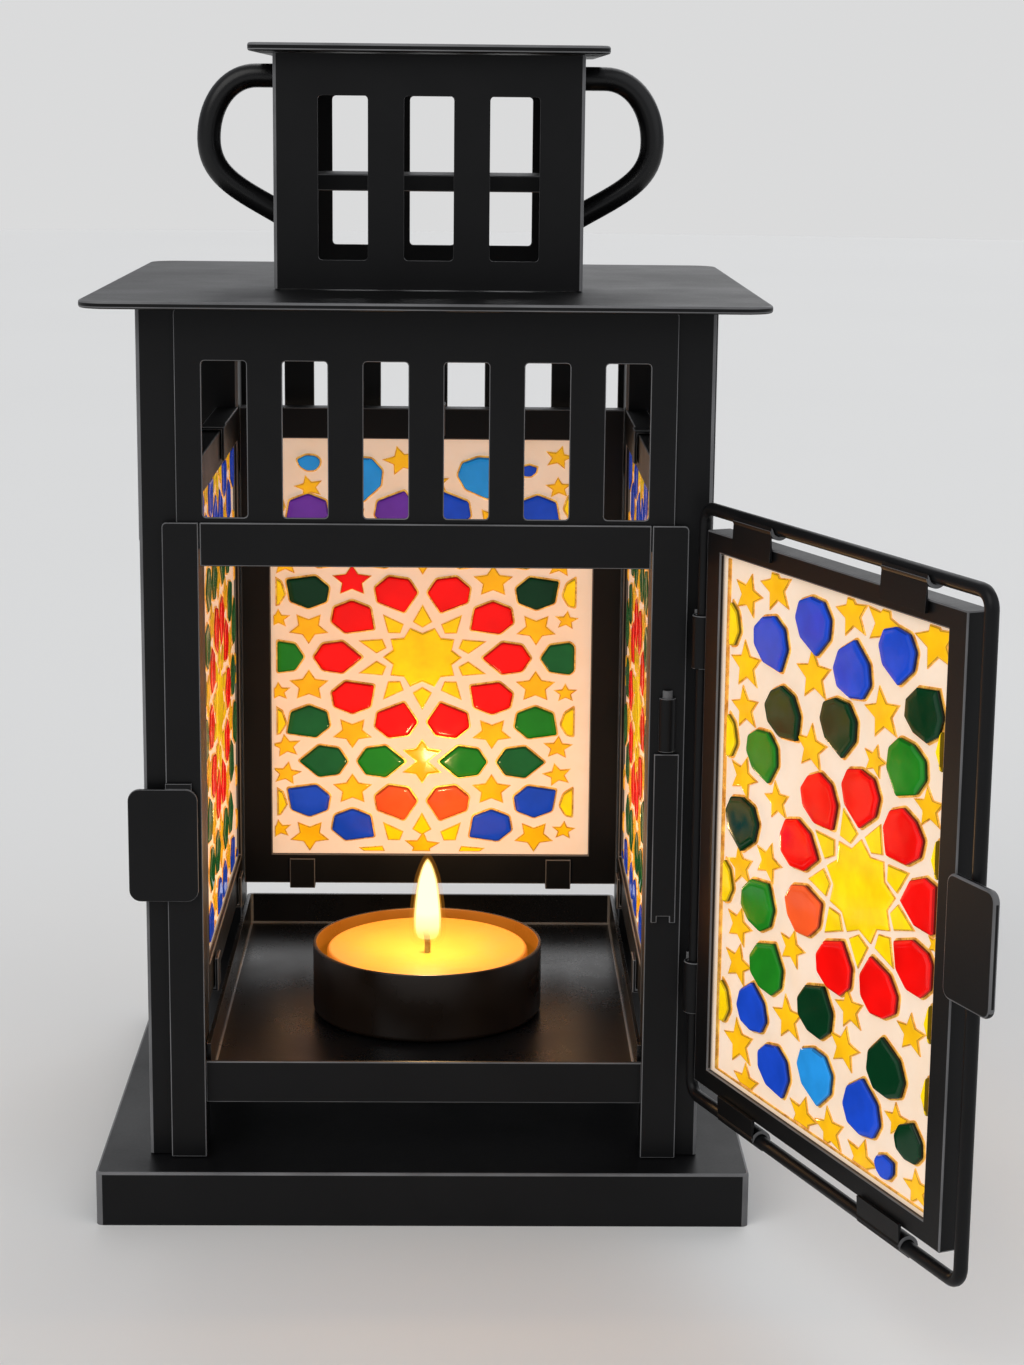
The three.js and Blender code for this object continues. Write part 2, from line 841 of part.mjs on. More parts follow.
// A closed tube of round rod bent to a rounded rectangle in the X-Z plane.
function rodFrame(x0, x1, z0, z1) {
  const facets = 12;
  const perBend = 4;
  const corners = [
    [x1 - rodBend, z1 - rodBend, 0],
    [x0 + rodBend, z1 - rodBend, 1],
    [x0 + rodBend, z0 + rodBend, 2],
    [x1 - rodBend, z0 + rodBend, 3],
  ];
  const stations = corners.flatMap(([x, z, quarter]) =>
    Array.from({ length: perBend + 1 }, (_, i) => {
      const angle = ((quarter + i / perBend) * Math.PI) / 2;
      return { x, z, out: [Math.cos(angle), Math.sin(angle)] };
    }),
  );
  const point = (station, facet) => {
    const angle = (2 * Math.PI * facet) / facets;
    const radius = rodBend + rodRadius * Math.cos(angle);
    return [
      station.x + radius * station.out[0],
      rodRadius * Math.sin(angle),
      station.z + radius * station.out[1],
    ];
  };
  const triangles = [];
  stations.forEach((a, s) => {
    const b = stations[(s + 1) % stations.length];
    for (let f = 0; f < facets; f++) {
      const quad = [point(a, f), point(a, f + 1), point(b, f + 1), point(b, f)];
      triangles.push(...quad[0], ...quad[1], ...quad[2]);
      triangles.push(...quad[0], ...quad[2], ...quad[3]);
    }
  });
  const geometry = new THREE.BufferGeometry();
  geometry.setAttribute("position", new THREE.Float32BufferAttribute(triangles, 3));
  return geometry;
}

// A clip rolled over a rod, with a flat tab on the frame's inner face. The rod runs along X.
function rodClip(x, rodZ, way, width, tab, faceY) {
  const inner = rodRadius + seat;
  const outer = inner + clipSheet;
  const outline = new THREE.Shape();
  const steps = 8;
  const arc = (radius, from, to) =>
    Array.from({ length: steps + 1 }, (_, i) => {
      const angle = from + ((to - from) * i) / steps;
      return [radius * Math.cos(angle), rodZ + way * radius * Math.sin(angle)];
    });
  const tail = seat;
  const points = [
    [faceY - seat - clipSheet, rodZ - way * tab],
    ...arc(outer, Math.PI, 0),
    [outer, rodZ - way * tail],
    [inner, rodZ - way * tail],
    ...arc(inner, 0, Math.PI),
    [faceY - seat, rodZ - way * tab],
  ];
  outline.setFromPoints(points.map(([y, z]) => new THREE.Vector2(y, z)));
  return alongX(outline, x, width);
}

// The door, drawn from the hinge axis along +X with its inner face towards -Y.
function buildDoor() {
  const door = new THREE.Group();
  door.position.set(hingeX, hingeY, 0);
  door.rotation.z = Math.PI + THREE.MathUtils.degToRad(openAngle);
  lantern.add(door);

  piece("door_rod_frame", rodFrame(0, doorReach, doorBottom, doorTop), blackSteel, door);

  const faceY = -rodRadius;
  const frame = {
    width: doorReach - doorHingeInset - doorFreeInset,
    height: doorTop - doorBottom - 2 * doorEndInset,
  };
  const frameMiddle = doorHingeInset + frame.width / 2;
  const clipReach = frame.width / 2 - doorClipInset;
  const panel = new THREE.Group();
  panel.position.set(frameMiddle, faceY, doorMiddle);
  door.add(panel);
  const pane = {
    width: frame.width - 2 * doorSideBorder,
    height: frame.height - 2 * doorEndBorder,
  };
  const pattern = {
    across: doorTileAcross,
    up: doorTileUp,
    shift: doorRosetteShift,
    rise: doorRosetteRise,
    bare: doorBareStrip,
  };
  glazedPanel("door", frame, pane, pattern, panel);

  for (const [hand, x] of [
    ["a", frameMiddle - clipReach],
    ["b", frameMiddle + clipReach],
  ]) {
    const top = rodClip(x, doorTop, 1, doorClipWidth, doorClipTab, faceY);
    const bottom = rodClip(x, doorBottom, -1, doorSleeveWidth, doorSleeveTab, faceY);
    piece("door_clip_upper_" + hand, top, blackSteel, door);
    piece("door_clip_lower_" + hand, bottom, blackSteel, door);
  }

  const pullMiddle = doorReach + pullOverhang - pullWidth / 2;
  const outline = roundedRectangle(
    pullWidth,
    pullHeight,
    plateCorner,
    pullMiddle,
    pullCentre,
  );
  const pull = standing(outline, faceY - seat - pullThickness, faceY - seat, 4);
  piece("door_pull_plate", pull, blackSteel, door);
}

// Hinge knuckle: a barrel round the door's rod on a web that stands on the post
function buildKnuckles() {
  const facets = 16;
  const bore = (rodRadius + runningFit) / Math.cos(Math.PI / facets);
  const outer = bore + knuckleWall;
  const face = -(half + seat);
  for (const [name, centre] of [
    ["hinge_knuckle_upper", upperKnuckle],
    ["hinge_knuckle_lower", lowerKnuckle],
  ]) {
    const z0 = centre - knuckleLength / 2;
    const z1 = centre + knuckleLength / 2;
    const barrel = new THREE.CylinderGeometry(outer, outer, knuckleLength, facets);
    barrel.rotateX(Math.PI / 2).translate(hingeX, hingeY, centre);
    const hole = new THREE.CylinderGeometry(bore, bore, knuckleLength + 2, facets);
    hole.rotateX(Math.PI / 2).translate(hingeX, hingeY, centre);
    const web = box(
      hingeX - knuckleWeb / 2,
      hingeX + knuckleWeb / 2,
      hingeY + bore,
      face,
      z0,
      z1,
    );
    const foot = box(
      hingeX + knuckleWeb / 2 - knuckleFoot / 2,
      hingeX + knuckleWeb / 2 + knuckleFoot / 2 - knuckleWeb / 2,
      face - knuckleWall,
      face,
      z0,
      z1,
    );
    const knuckle = join(barrel, web, foot);
    piece(name, cut(knuckle, hole), blackSteel);
  }
}

function buildKeeper() {
  const left = -(half + keeperOverhang);
  const middleX = left + keeperWidth / 2;
  const plate = roundedRectangle(keeperWidth, keeperHeight, plateCorner, middleX, keeperCentre);
  const back = -(jambOut + seat);
  const front = standing(plate, -keeperOut, back - backingThickness, 4);
  const backingLeft = -(portalWidth / 2 + jambWidth);
  const backing = box(
    backingLeft,
    left + keeperWidth - plateCorner / 2,
    back - backingThickness - keying,
    back,
    keeperCentre - keeperHeight / 2 + plateCorner,
    keeperCentre + keeperHeight / 2 + backingRise,
  );
  piece("keeper_plate", join(front, backing), blackSteel);
}

// Stop strip that the closed door comes to rest near, with a half-round sleeve and its pin above
function buildStop() {
  const back = -(jambOut + seat);
  const middleX = portalWidth / 2 + jambWidth / 2;
  const strip = box(
    middleX - stopWidth / 2,
    middleX + stopWidth / 2,
    back - stopThickness,
    back,
    stopBottom + stopFootHeight,
    stopBottom + stopHeight,
  );
  const footWidth = stopWidth / 4;
  const feet = [-1, 1].map((side) =>
    box(
      middleX + (side * (stopWidth - footWidth)) / 2 - footWidth / 2,
      middleX + (side * (stopWidth - footWidth)) / 2 + footWidth / 2,
      back - stopThickness,
      back,
      stopBottom,
      stopBottom + stopFootHeight + keying,
    ),
  );
  piece("stop_strip", join(strip, ...feet), blackSteel);
  const sleeveFoot = stopBottom + stopHeight + 2 * seat;
  const halfRound = (radius) => {
    const outline = new THREE.Shape();
    outline.absarc(middleX, back, radius, Math.PI, 2 * Math.PI);
    return outline;
  };
  const sleeve = lying(halfRound(sleeveRadius), sleeveFoot, sleeveFoot + sleeveHeight, 8);
  const pinTop = sleeveFoot + sleeveHeight + pinHeadHeight;
  const pin = lying(halfRound(pinHeadRadius), sleeveFoot + keying, pinTop, 8);
  piece("stop_sleeve", join(sleeve, pin), blackSteel);
}

function buildRoof() {
  const plate = roundedRectangle(roofWidth, roofWidth, roofCorner);
  plate.holes.push(roundedRectangle(flueWidth, flueWidth, slotCorner));
  piece("roof_plate", lying(plate, roofBottom, roofTop, 5), blackSteel);
}

function buildChimney() {
  const outer = chimneyWidth / 2;
  const inner = outer - chimneySheet;
  const windowMiddle = chimneyFoot + windowSill + windowHeight / 2;
  const tools = [box(-inner, inner, -inner, inner, chimneyFoot - 1, chimneyTop + 1)];
  for (let i = 0; i < windowCount; i++) {
    const across = (i - (windowCount - 1) / 2) * windowPitch;
    const hole = roundedRectangle(windowWidth, windowHeight, windowCorner, across, windowMiddle);
    tools.push(standing(hole, -outer - 1, outer + 1, 2));
    tools.push(standing(hole, -outer - 1, outer + 1, 2).rotateZ(Math.PI / 2));
  }
  const walls = box(-outer, outer, -outer, outer, chimneyFoot, chimneyTop);
  piece("chimney", cut(walls, ...tools), blackSteel);

  const cap = roundedRectangle(capWidth, capWidth, capCorner);
  piece("chimney_cap", lying(cap, capBottom, capBottom + capThickness, 4), blackSteel);

  const baffleTop = chimneyFoot + baffleHeight;
  const edge = baffleWidth / 2;
  const strap = profile([
    [-edge, baffleTop - baffleLip],
    [-edge + baffleSheet, baffleTop - baffleLip],
    [-edge + baffleSheet, baffleTop - baffleSheet],
    [edge - baffleSheet, baffleTop - baffleSheet],
    [edge - baffleSheet, baffleTop - baffleLip],
    [edge, baffleTop - baffleLip],
    [edge, baffleTop],
    [-edge, baffleTop],
  ]);
  piece("chimney_baffle", alongX(strap, 0, 2 * (inner - seat)), blackSteel);
}

// Ear handle: round tube out of the chimney's side wall and back into it lower down
function buildHandles() {
  const wall = chimneyWidth / 2;
  const topZ = chimneyFoot + handleTop;
  const footZ = chimneyFoot + handleFoot;
  const outX = wall + handleReach;
  const outZ = topZ - (topZ - footZ) * 0.45;
  const point = (x, z) => new THREE.Vector3(x, 0, z);
  const path = new THREE.CurvePath();
  path.add(new THREE.LineCurve3(point(wall - 1, topZ), point(wall + handleStraight, topZ)));
  path.add(
    new THREE.CubicBezierCurve3(
      point(wall + handleStraight, topZ),
      point(outX - handleReach * 0.27, topZ),
      point(outX, topZ - (topZ - outZ) * 0.45),
      point(outX, outZ),
    ),
  );
  path.add(
    new THREE.CubicBezierCurve3(
      point(outX, outZ),
      point(outX, outZ - (outZ - footZ) * 0.4),
      point(wall + handleReach * 0.55, footZ + (outZ - footZ) * 0.33),
      point(wall - 1, footZ),
    ),
  );
  const section = new THREE.Shape().absarc(0, 0, handleTube / 2, 0, 2 * Math.PI);
  const keepOut = wall + seat;
  for (const [name, side] of [
    ["handle_right", 1],
    ["handle_left", -1],
  ]) {
    const tube = new THREE.ExtrudeGeometry(section, {
      steps: 26,
      curveSegments: 5,
      extrudePath: path,
      bevelEnabled: false,
    });
    const trimmed = cut(tube, box(0, keepOut, -wall, wall, chimneyFoot - wall, capBottom));
    if (side < 0) trimmed.rotateZ(Math.PI);
    piece(name, trimmed, blackSteel);
  }
}

// Candle: wax and wick in a shallow metal cup
function buildCandle() {
  const rim = candleFoot + cupHeight;
  const cupProfile = [
    [0, candleFoot],
    [cupRadius, candleFoot],
    [cupRadius, rim],
    [cupRadius - cupSheet, rim],
    [cupRadius - cupSheet, candleFoot + cupSheet],
    [0, candleFoot + cupSheet],
  ];
  const turned = (points, segments) => {
    const outline = points.map(([r, z]) => new THREE.Vector2(r, z));
    const geometry = new THREE.LatheGeometry(outline, segments);
    return geometry.rotateX(Math.PI / 2).translate(0, -candleForward, 0);
  };
  piece("candle_cup", turned(cupProfile, 32), cupSteel);

  const waxFoot = candleFoot + cupSheet + seat;
  const waxTop = waxFoot + waxHeight;
  const wickHole = wickRadius + seat / 2;
  const sink = 3;
  const waxProfile = [
    [0, waxFoot],
    [waxRadius, waxFoot],
    [waxRadius, waxTop - 1],
    [waxRadius - 1, waxTop],
    [wickHole, waxTop],
    [wickHole, waxTop - sink],
    [0, waxTop - sink],
  ];
  piece("candle_wax", turned(waxProfile, 32), waxCream);

  const bottom = waxTop - sink + seat;
  const path = new THREE.CatmullRomCurve3([
    new THREE.Vector3(0, -candleForward, bottom),
    new THREE.Vector3(0, -candleForward, waxTop + seat),
    new THREE.Vector3(-wickLean / 5, -candleForward, waxTop + wickLength * 0.6),
    new THREE.Vector3(-wickLean, -candleForward, waxTop + wickLength),
  ]);
  const section = new THREE.Shape().absarc(0, 0, wickRadius, 0, 2 * Math.PI);
  const wick = new THREE.ExtrudeGeometry(section, {
    steps: 6,
    curveSegments: 4,
    extrudePath: path,
    bevelEnabled: false,
  });
  piece("candle_wick", wick, wickCotton);
}

buildPlinth();
buildPosts();
buildRails();
buildTray();
buildPanels();
buildFascias();
buildPortal();
buildKeeper();
buildStop();
buildKnuckles();
buildDoor();
buildRoof();
buildChimney();
buildHandles();
buildCandle();

export default lantern;
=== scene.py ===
import math

import bmesh
import bpy
from mathutils import Matrix, Vector


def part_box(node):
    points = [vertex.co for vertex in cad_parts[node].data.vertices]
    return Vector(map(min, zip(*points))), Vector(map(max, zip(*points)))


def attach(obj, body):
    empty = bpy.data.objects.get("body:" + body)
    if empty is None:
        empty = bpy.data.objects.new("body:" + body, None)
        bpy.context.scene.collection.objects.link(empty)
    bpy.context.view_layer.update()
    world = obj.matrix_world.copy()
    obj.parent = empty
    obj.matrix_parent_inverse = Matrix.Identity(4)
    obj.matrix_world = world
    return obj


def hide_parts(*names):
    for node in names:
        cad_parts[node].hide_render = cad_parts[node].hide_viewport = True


bl_info = {
    "name": "Mosaic Lantern",
    "version": (1, 0, 0),
    "blender": (4, 5, 0),
    "location": "View3D > Sidebar > Lantern",
    "description": "Dresses a square steel candle lantern with panes of rosette mosaic",
    "category": "Object",
}

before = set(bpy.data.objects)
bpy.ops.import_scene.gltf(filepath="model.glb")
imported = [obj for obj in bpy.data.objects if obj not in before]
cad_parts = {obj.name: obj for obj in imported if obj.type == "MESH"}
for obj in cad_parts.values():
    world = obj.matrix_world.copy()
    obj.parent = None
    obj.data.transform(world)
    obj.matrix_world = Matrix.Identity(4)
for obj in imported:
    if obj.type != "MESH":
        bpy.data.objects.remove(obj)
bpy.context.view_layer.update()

# Lengths are in millimetres, unless they are written to Blender
MM = 0.001
OPEN_ANGLE = 112.5  # degrees that the door stands open
HINGE = Vector((64.8, -74.9, 0))  # the hinge rod's axis
DOOR_PANE = (58.4, -1.5, 104.5)  # middle of the door's pane, from the hinge in the door's own plane
PANEL_MIDDLE = 115.7  # height of the middle of the fixed panes
PANEL_PLANE = 53.5  # inner face of a fixed panel from the lantern's axis
THIN_FACE = 0.36  # widest face that counts as part of a rounded edge
ALONG = 0.99  # least part of a direction that runs along an axis
NEAR = 0.01  # distance within which two heights are the same


# Working by hand


def alone(*pieces):
    """Selects these pieces and nothing else."""
    bpy.ops.object.select_all(action="DESELECT")
    for piece in pieces:
        piece.select_set(True)
    bpy.context.view_layer.objects.active = pieces[0]


def linked(name, data):
    piece = bpy.data.objects.new(name, data)
    bpy.context.scene.collection.objects.link(piece)
    return piece


def added(name):
    """The primitive that was just added, with its place in its mesh."""
    piece = bpy.context.object
    piece.name = piece.data.name = name
    bpy.ops.object.transform_apply(location=True, rotation=True, scale=True)
    return piece


def box(name, low, high):
    low, high = Vector(low) * MM, Vector(high) * MM
    bpy.ops.object.select_all(action="DESELECT")
    bpy.ops.mesh.primitive_cube_add(size=1, location=(low + high) / 2, scale=high - low)
    return added(name)


def upright_plane(name, x, y, width, low, high):
    """A flat rectangle across the Y axis."""
    middle = Vector((x, y, (low + high) / 2)) * MM
    bpy.ops.object.select_all(action="DESELECT")
    bpy.ops.mesh.primitive_plane_add(size=1, location=middle, rotation=(math.pi / 2, 0, 0))
    bpy.context.object.scale = (width * MM, (high - low) * MM, 1)
    return added(name)


def span(node):
    """The lowest and highest corner of a frame node."""
    low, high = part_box(node)
    return low / MM, high / MM


def block(name, node):
    """A box that fills a frame node's room, and that room's corners."""
    low, high = span(node)
    return box(name, low, high), low, high


def edit(piece, kind="FACE", action="SELECT"):
    """Opens a piece in edit mode with everything selected, or nothing."""
    alone(piece)
    bpy.ops.object.mode_set(mode="EDIT")
    bpy.ops.mesh.select_mode(type=kind)
    bpy.ops.mesh.select_all(action=action)


def done():
    bpy.ops.object.mode_set(mode="OBJECT")


def pick_edges(piece, wanted):
    """Opens a piece in edit mode with only the edges selected whose middle and direction are wanted."""
    edit(piece, "EDGE", "DESELECT")
    mesh = bmesh.from_edit_mesh(piece.data)
    for edge in mesh.edges:
        start, end = (v.co / MM for v in edge.verts)
        edge.select_set(wanted((start + end) / 2, (end - start).normalized()))
    mesh.select_flush_mode()
    bmesh.update_edit_mesh(piece.data)


def pick_faces(piece, wanted):
    """Opens a piece in edit mode with only the wanted faces selected, and says whether there are any."""
    edit(piece, "FACE", "DESELECT")
    mesh = bmesh.from_edit_mesh(piece.data)
    for face in mesh.faces:
        face.select_set(wanted(face))
    mesh.select_flush_mode()
    bmesh.update_edit_mesh(piece.data)
    return any(face.select for face in mesh.faces)


def upright(middle, way):
    return abs(way.z) > ALONG


def crosswise(middle, way):
    return abs(way.y) > ALONG


def round_edges(piece, width, steps, wanted):
    pick_edges(piece, wanted)
    bpy.ops.mesh.bevel(offset=width * MM, segments=steps, affect="EDGES", clamp_overlap=True)
    done()


def push(y=0, z=0):
    """Extrudes what is selected."""
    bpy.ops.mesh.extrude_region_move(TRANSFORM_OT_translate={"value": (0, y * MM, z * MM)})


def sink(piece, side, rim, depth):
    """Sinks the top (1) or the underside (-1) of a block inside a rim."""
    pick_faces(piece, lambda face: face.normal.z * side > ALONG)
    bpy.ops.mesh.inset(thickness=rim * MM)
    push(z=-side * depth)
    done()


def face_out():
    """Turns every face outwards and leaves edit mode."""
    bpy.ops.mesh.select_all(action="SELECT")
    bpy.ops.mesh.normals_make_consistent(inside=False)
    done()


def modified(piece, kind, **settings):
    """Applies one modifier with these settings."""
    modifier = piece.modifiers.new(kind.lower(), kind)
    for key, value in settings.items():
        setattr(modifier, key, value)
    alone(piece)
    bpy.ops.object.modifier_apply(modifier=modifier.name)


def hollow(piece, wall):
    """Opens a block at its ends and gives its sides their thickness."""
    pick_faces(piece, lambda face: abs(face.normal.z) > ALONG)
    bpy.ops.mesh.delete(type="FACE")
    done()
    modified(piece, "SOLIDIFY", thickness=wall * MM, offset=-1, use_even_offset=True)


def ease(piece, width, steps=2, angle=30):
    """Rounds every hard edge."""
    limit = math.radians(angle)
    modified(piece, "BEVEL", width=width * MM, segments=steps, limit_method="ANGLE", angle_limit=limit)


def smooth(piece, angle=50):
    """Smooth over the rounded edges, flat over the flat faces."""
    alone(piece)
    bpy.ops.object.shade_smooth_by_angle(angle=math.radians(angle))
    modified(piece, "WEIGHTED_NORMAL", weight=60, keep_sharp=True)


def joined(name, parts):
    alone(*parts)
    if len(parts) > 1:
        bpy.ops.object.join()
    parts[0].name = parts[0].data.name = name
    return parts[0]


def pierce(piece, *tools):
    """Cuts the tools out of a piece."""
    cutter = joined("cutter", tools)
    modified(piece, "BOOLEAN", operation="DIFFERENCE", solver="EXACT", object=cutter)
    bpy.data.objects.remove(cutter)


def copied(piece, name):
    twin = piece.copy()
    twin.data = piece.data.copy()
    twin.name = twin.data.name = name
    bpy.context.scene.collection.objects.link(twin)
    return twin


def placed(piece, degrees=0, at=(0, 0, 0)):
    """Turns a piece about Z and moves it, and keeps the place in its mesh."""
    turn = Matrix.Rotation(math.radians(degrees), 4, "Z")
    piece.matrix_world = Matrix.Translation(Vector(at) * MM) @ turn
    alone(piece)
    bpy.ops.object.transform_apply(location=True, rotation=True, scale=True)
    return piece


def hung(piece):
    """Hangs a piece that was made in the door's own plane."""
    return placed(piece, 180 + OPEN_ANGLE, HINGE)


def tube(name, spline, radius, steps):
    """A round bar along a curve whose points are (point, handle before, handle after)."""
    curve = bpy.data.curves.new(name, "CURVE")
    curve.dimensions = "3D"
    curve.bevel_depth = radius * MM
    curve.bevel_resolution = 6
    curve.resolution_u = steps
    curve.use_fill_caps = True
    line = curve.splines.new("BEZIER")
    line.bezier_points.add(len(spline) - 1)
    for knot, places in zip(line.bezier_points, spline):
        knot.handle_left_type = knot.handle_right_type = "FREE"
        knot.co, knot.handle_left, knot.handle_right = (Vector(place) * MM for place in places)
    alone(linked(name, curve))
    bpy.ops.object.convert(target="MESH")
    return bpy.context.object


def raised(name, centre, rings, facets, closed_tip=False):
    """A round piece: a disc drawn up through rings of (radius, height)."""
    radius, height = rings[0]
    foot = Vector((*centre, height)) * MM
    bpy.ops.object.select_all(action="DESELECT")
    bpy.ops.mesh.primitive_circle_add(
        vertices=facets, radius=radius * MM, fill_type="NGON", location=foot
    )
    piece = added(name)
    edit(piece)
    for next_radius, next_height in rings[1:]:
        push(z=next_height - height)
        scale = next_radius / radius
        middle = Vector((*centre, next_height)) * MM
        bpy.ops.transform.resize(value=(scale, scale, 1), center_override=middle)
        radius, height = next_radius, next_height
    if closed_tip:
        bpy.ops.mesh.merge(type="CENTER")
    face_out()
    return piece


# Finishes


class Signal:
    """An output of a shader node that takes part in arithmetic."""

    def __init__(self, finish, socket):
        self.finish = finish
        self.socket = socket

    def math(self, operation, *values):
        return self.finish.node("ShaderNodeMath", {"operation": operation}, dict(enumerate(values)))

    def __add__(self, other):
        return self.math("ADD", self, other)

    def __sub__(self, other):
        return self.math("SUBTRACT", self, other)

    def __rsub__(self, other):
        return self.math("SUBTRACT", other, self)

    def __mul__(self, other):
        return self.math("MULTIPLY", self, other)

    __radd__ = __add__
    __rmul__ = __mul__


class Finish:
    """A material in the making."""

    def __init__(self, name):
        self.colours = bpy.context.scene.lantern_colours
        self.material = bpy.data.materials.new(name)
        self.material.use_nodes = True
        self.tree = self.material.node_tree
        self.tree.nodes.clear()

    def node(self, kind, settings=None, values=None, output=0):
        made = self.tree.nodes.new(kind)
        for key, value in (settings or {}).items():
            if key == "stops":
                ramp = made.color_ramp
                for stop, (position, colour) in enumerate(value):
                    spot = ramp.elements[stop] if stop < 2 else ramp.elements.new(position)
                    spot.position = position
                    spot.color = (*colour, 1)
            else:
                setattr(made, key, value)
        for key, value in (values or {}).items():
            if isinstance(value, Signal):
                self.tree.links.new(value.socket, made.inputs[key])
            elif isinstance(value, tuple) and len(value) == 3 and made.inputs[key].type == "RGBA":
                made.inputs[key].default_value = (*value, 1)
            else:
                made.inputs[key].default_value = value
        return Signal(self, made.outputs[output])

    def own(self, colour):
        """One of the add-on's colours."""
        return tuple(getattr(self.colours, colour))

    def place(self):
        return self.node("ShaderNodeTexCoord", output="Object")

    def height(self):
        return self.node("ShaderNodeSeparateXYZ", None, {0: self.place()}, output="Z")

    def written(self, attribute, output="Fac"):
        """What is written into the piece's mesh."""
        return self.node("ShaderNodeAttribute", {"attribute_name": attribute}, output=output)

    def noise(self, per_metre, detail=2, roughness=0.5):
        values = {"Vector": self.place(), "Scale": per_metre, "Detail": detail, "Roughness": roughness}
        return self.node("ShaderNodeTexNoise", None, values)

    def between(self, share, low, high, start=0.3, end=0.7, kind="LINEAR"):
        """A value from low to high as share goes from start to end."""
        values = {0: share, 1: start, 2: end, 3: low, 4: high}
        return self.node("ShaderNodeMapRange", {"interpolation_type": kind}, values)

    def clouds(self, per_metre, detail, roughness=0.5):
        return self.between(self.noise(per_metre, detail, roughness), 0, 1)

    def ramp(self, share, stops):
        return self.node("ShaderNodeValToRGB", {"stops": stops}, {0: share})

    def mix(self, share, first, second, blend="MIX"):
        settings = {"data_type": "RGBA", "blend_type": blend}
        return self.node("ShaderNodeMix", settings, {0: share, 6: first, 7: second}, output=2)

    def bump(self, height, distance, strength=1.0):
        values = {"Height": height, "Distance": distance * MM, "Strength": strength}
        return self.node("ShaderNodeBump", None, values)

    def made(self, **values):
        """The material, once its surface has these values."""
        named = {key.replace("_", " "): value for key, value in values.items()}
        surface = self.node("ShaderNodeBsdfPrincipled", None, named)
        output = self.tree.nodes.new("ShaderNodeOutputMaterial")
        self.tree.links.new(surface.socket, output.inputs["Surface"])
        return self.material


def shade(colour, share):
    return tuple(min(1.0, part * share) for part in colour)


def black_coat(finish, gloss=0.0):
    """Semi-gloss powder coat: orange peel, faint clouds, and a painted highlight of lighter grey along the
    edges.
    """
    black = finish.own("steel")
    peel = finish.noise(1500, 2, 0.6)
    cloud = finish.noise(38, 4, 0.6)
    share = finish.between(cloud, 0, 1)
    # Painted highlight: the edge colour on the marked faces of rounded edges, broken up by noise.
    edge = finish.written("thin_paint") * finish.between(finish.noise(55, 3), 0.55, 1)
    paint = finish.mix(share, shade(black, 0.82), shade(black, 1.25))
    return finish.made(
        Base_Color=finish.mix(edge, paint, finish.own("edge")),
        Roughness=finish.between(cloud, 0.36 - gloss, 0.46 - gloss) + (peel - 0.5) * 0.1,
        Normal=finish.bump(peel, 0.012, 0.35),
        Specular_IOR_Level=0.18 + gloss,
    )


def worn_coat(finish):
    """The same coat, glossier where hands and heat have smoothed it."""
    return black_coat(finish, 0.12)


def cup_enamel(finish):
    """Satin enamel with fine turning marks, and painted candle light on the inside: a warm brown colour and
    an orange glow.
    """
    black = finish.own("cup")
    cloud = finish.clouds(60, 3)
    turned = {"Vector": finish.place(), "Scale": (20, 20, 2600)}
    turned = finish.node("ShaderNodeMapping", None, turned)
    marks = finish.node("ShaderNodeTexNoise", None, {"Vector": turned, "Scale": 1, "Detail": 1})
    inside = finish.written("cup_inside")
    outer = finish.mix(cloud, shade(black, 0.8), shade(black, 1.3))
    # Painted candle light for the inside wall.
    lit = finish.mix(cloud, (0.4, 0.11, 0.004), (0.55, 0.17, 0.008))
    return finish.made(
        Base_Color=finish.mix(inside, outer, (0.1, 0.036, 0.006)),
        Roughness=finish.between(cloud, 0.26, 0.38),
        Emission_Color=finish.mix(inside, (0.0, 0.0, 0.0), lit),
        Emission_Strength=finish.colours.glow,
        Normal=finish.bump(marks, 0.01, 0.3),
        Specular_IOR_Level=0.4,
    )


def gem_glass(finish):
    """Coloured glass with a wet gloss, in the colour that is written into each gem, and a painted glow of
    candle light in that colour.
    """
    own = finish.written("gem_colour", "Color")
    swirl = finish.between(finish.noise(120, 3), 0.84, 1.1)
    grey = finish.node("ShaderNodeCombineColor", None, {0: swirl, 1: swirl, 2: swirl})
    tint = finish.mix(1.0, own, grey, "MULTIPLY")
    ripple = finish.noise(260, 1)
    return finish.made(
        Base_Color=tint,
        Roughness=finish.between(ripple, 0.07, 0.16),
        Specular_IOR_Level=0.16,
        Coat_Weight=0.06,
        Coat_Roughness=0.04,
        Emission_Color=tint,
        Emission_Strength=finish.colours.glow,
        Normal=finish.bump(ripple, 0.05, 0.25),
    )


def grout(finish):
    """Pale cream grout with a fine grain and a few warmer stains, and a painted glow of candle light."""
    cream = finish.own("grout")
    stain = finish.clouds(70, 5, 0.6)
    grain = finish.noise(1400, 3, 0.7)
    tint = finish.mix(stain, cream, (cream[0] * 0.97, cream[1] * 0.92, cream[2] * 0.84))
    return finish.made(
        Base_Color=tint,
        Roughness=finish.between(grain, 0.6, 0.8),
        Emission_Color=tint,
        Emission_Strength=finish.colours.glow,
        Normal=finish.bump(grain, 0.04, 0.6),
    )


def gold_line(finish):
    """Raised gold outliner, bright with darker bronze patches, and a painted glow of candle light."""
    gold = finish.own("gold")
    patch = finish.clouds(420, 3)
    bronze = shade((gold[0], gold[1] * 0.7, gold[2] * 0.4), 0.5)
    tint = finish.mix(patch, bronze, gold)
    return finish.made(
        Base_Color=tint,
        Metallic=0.6,
        Roughness=finish.between(finish.noise(900, 2), 0.22, 0.4),
        Emission_Color=tint,
        Emission_Strength=finish.colours.glow,
        Normal=finish.bump(patch, 0.03, 0.5),
    )


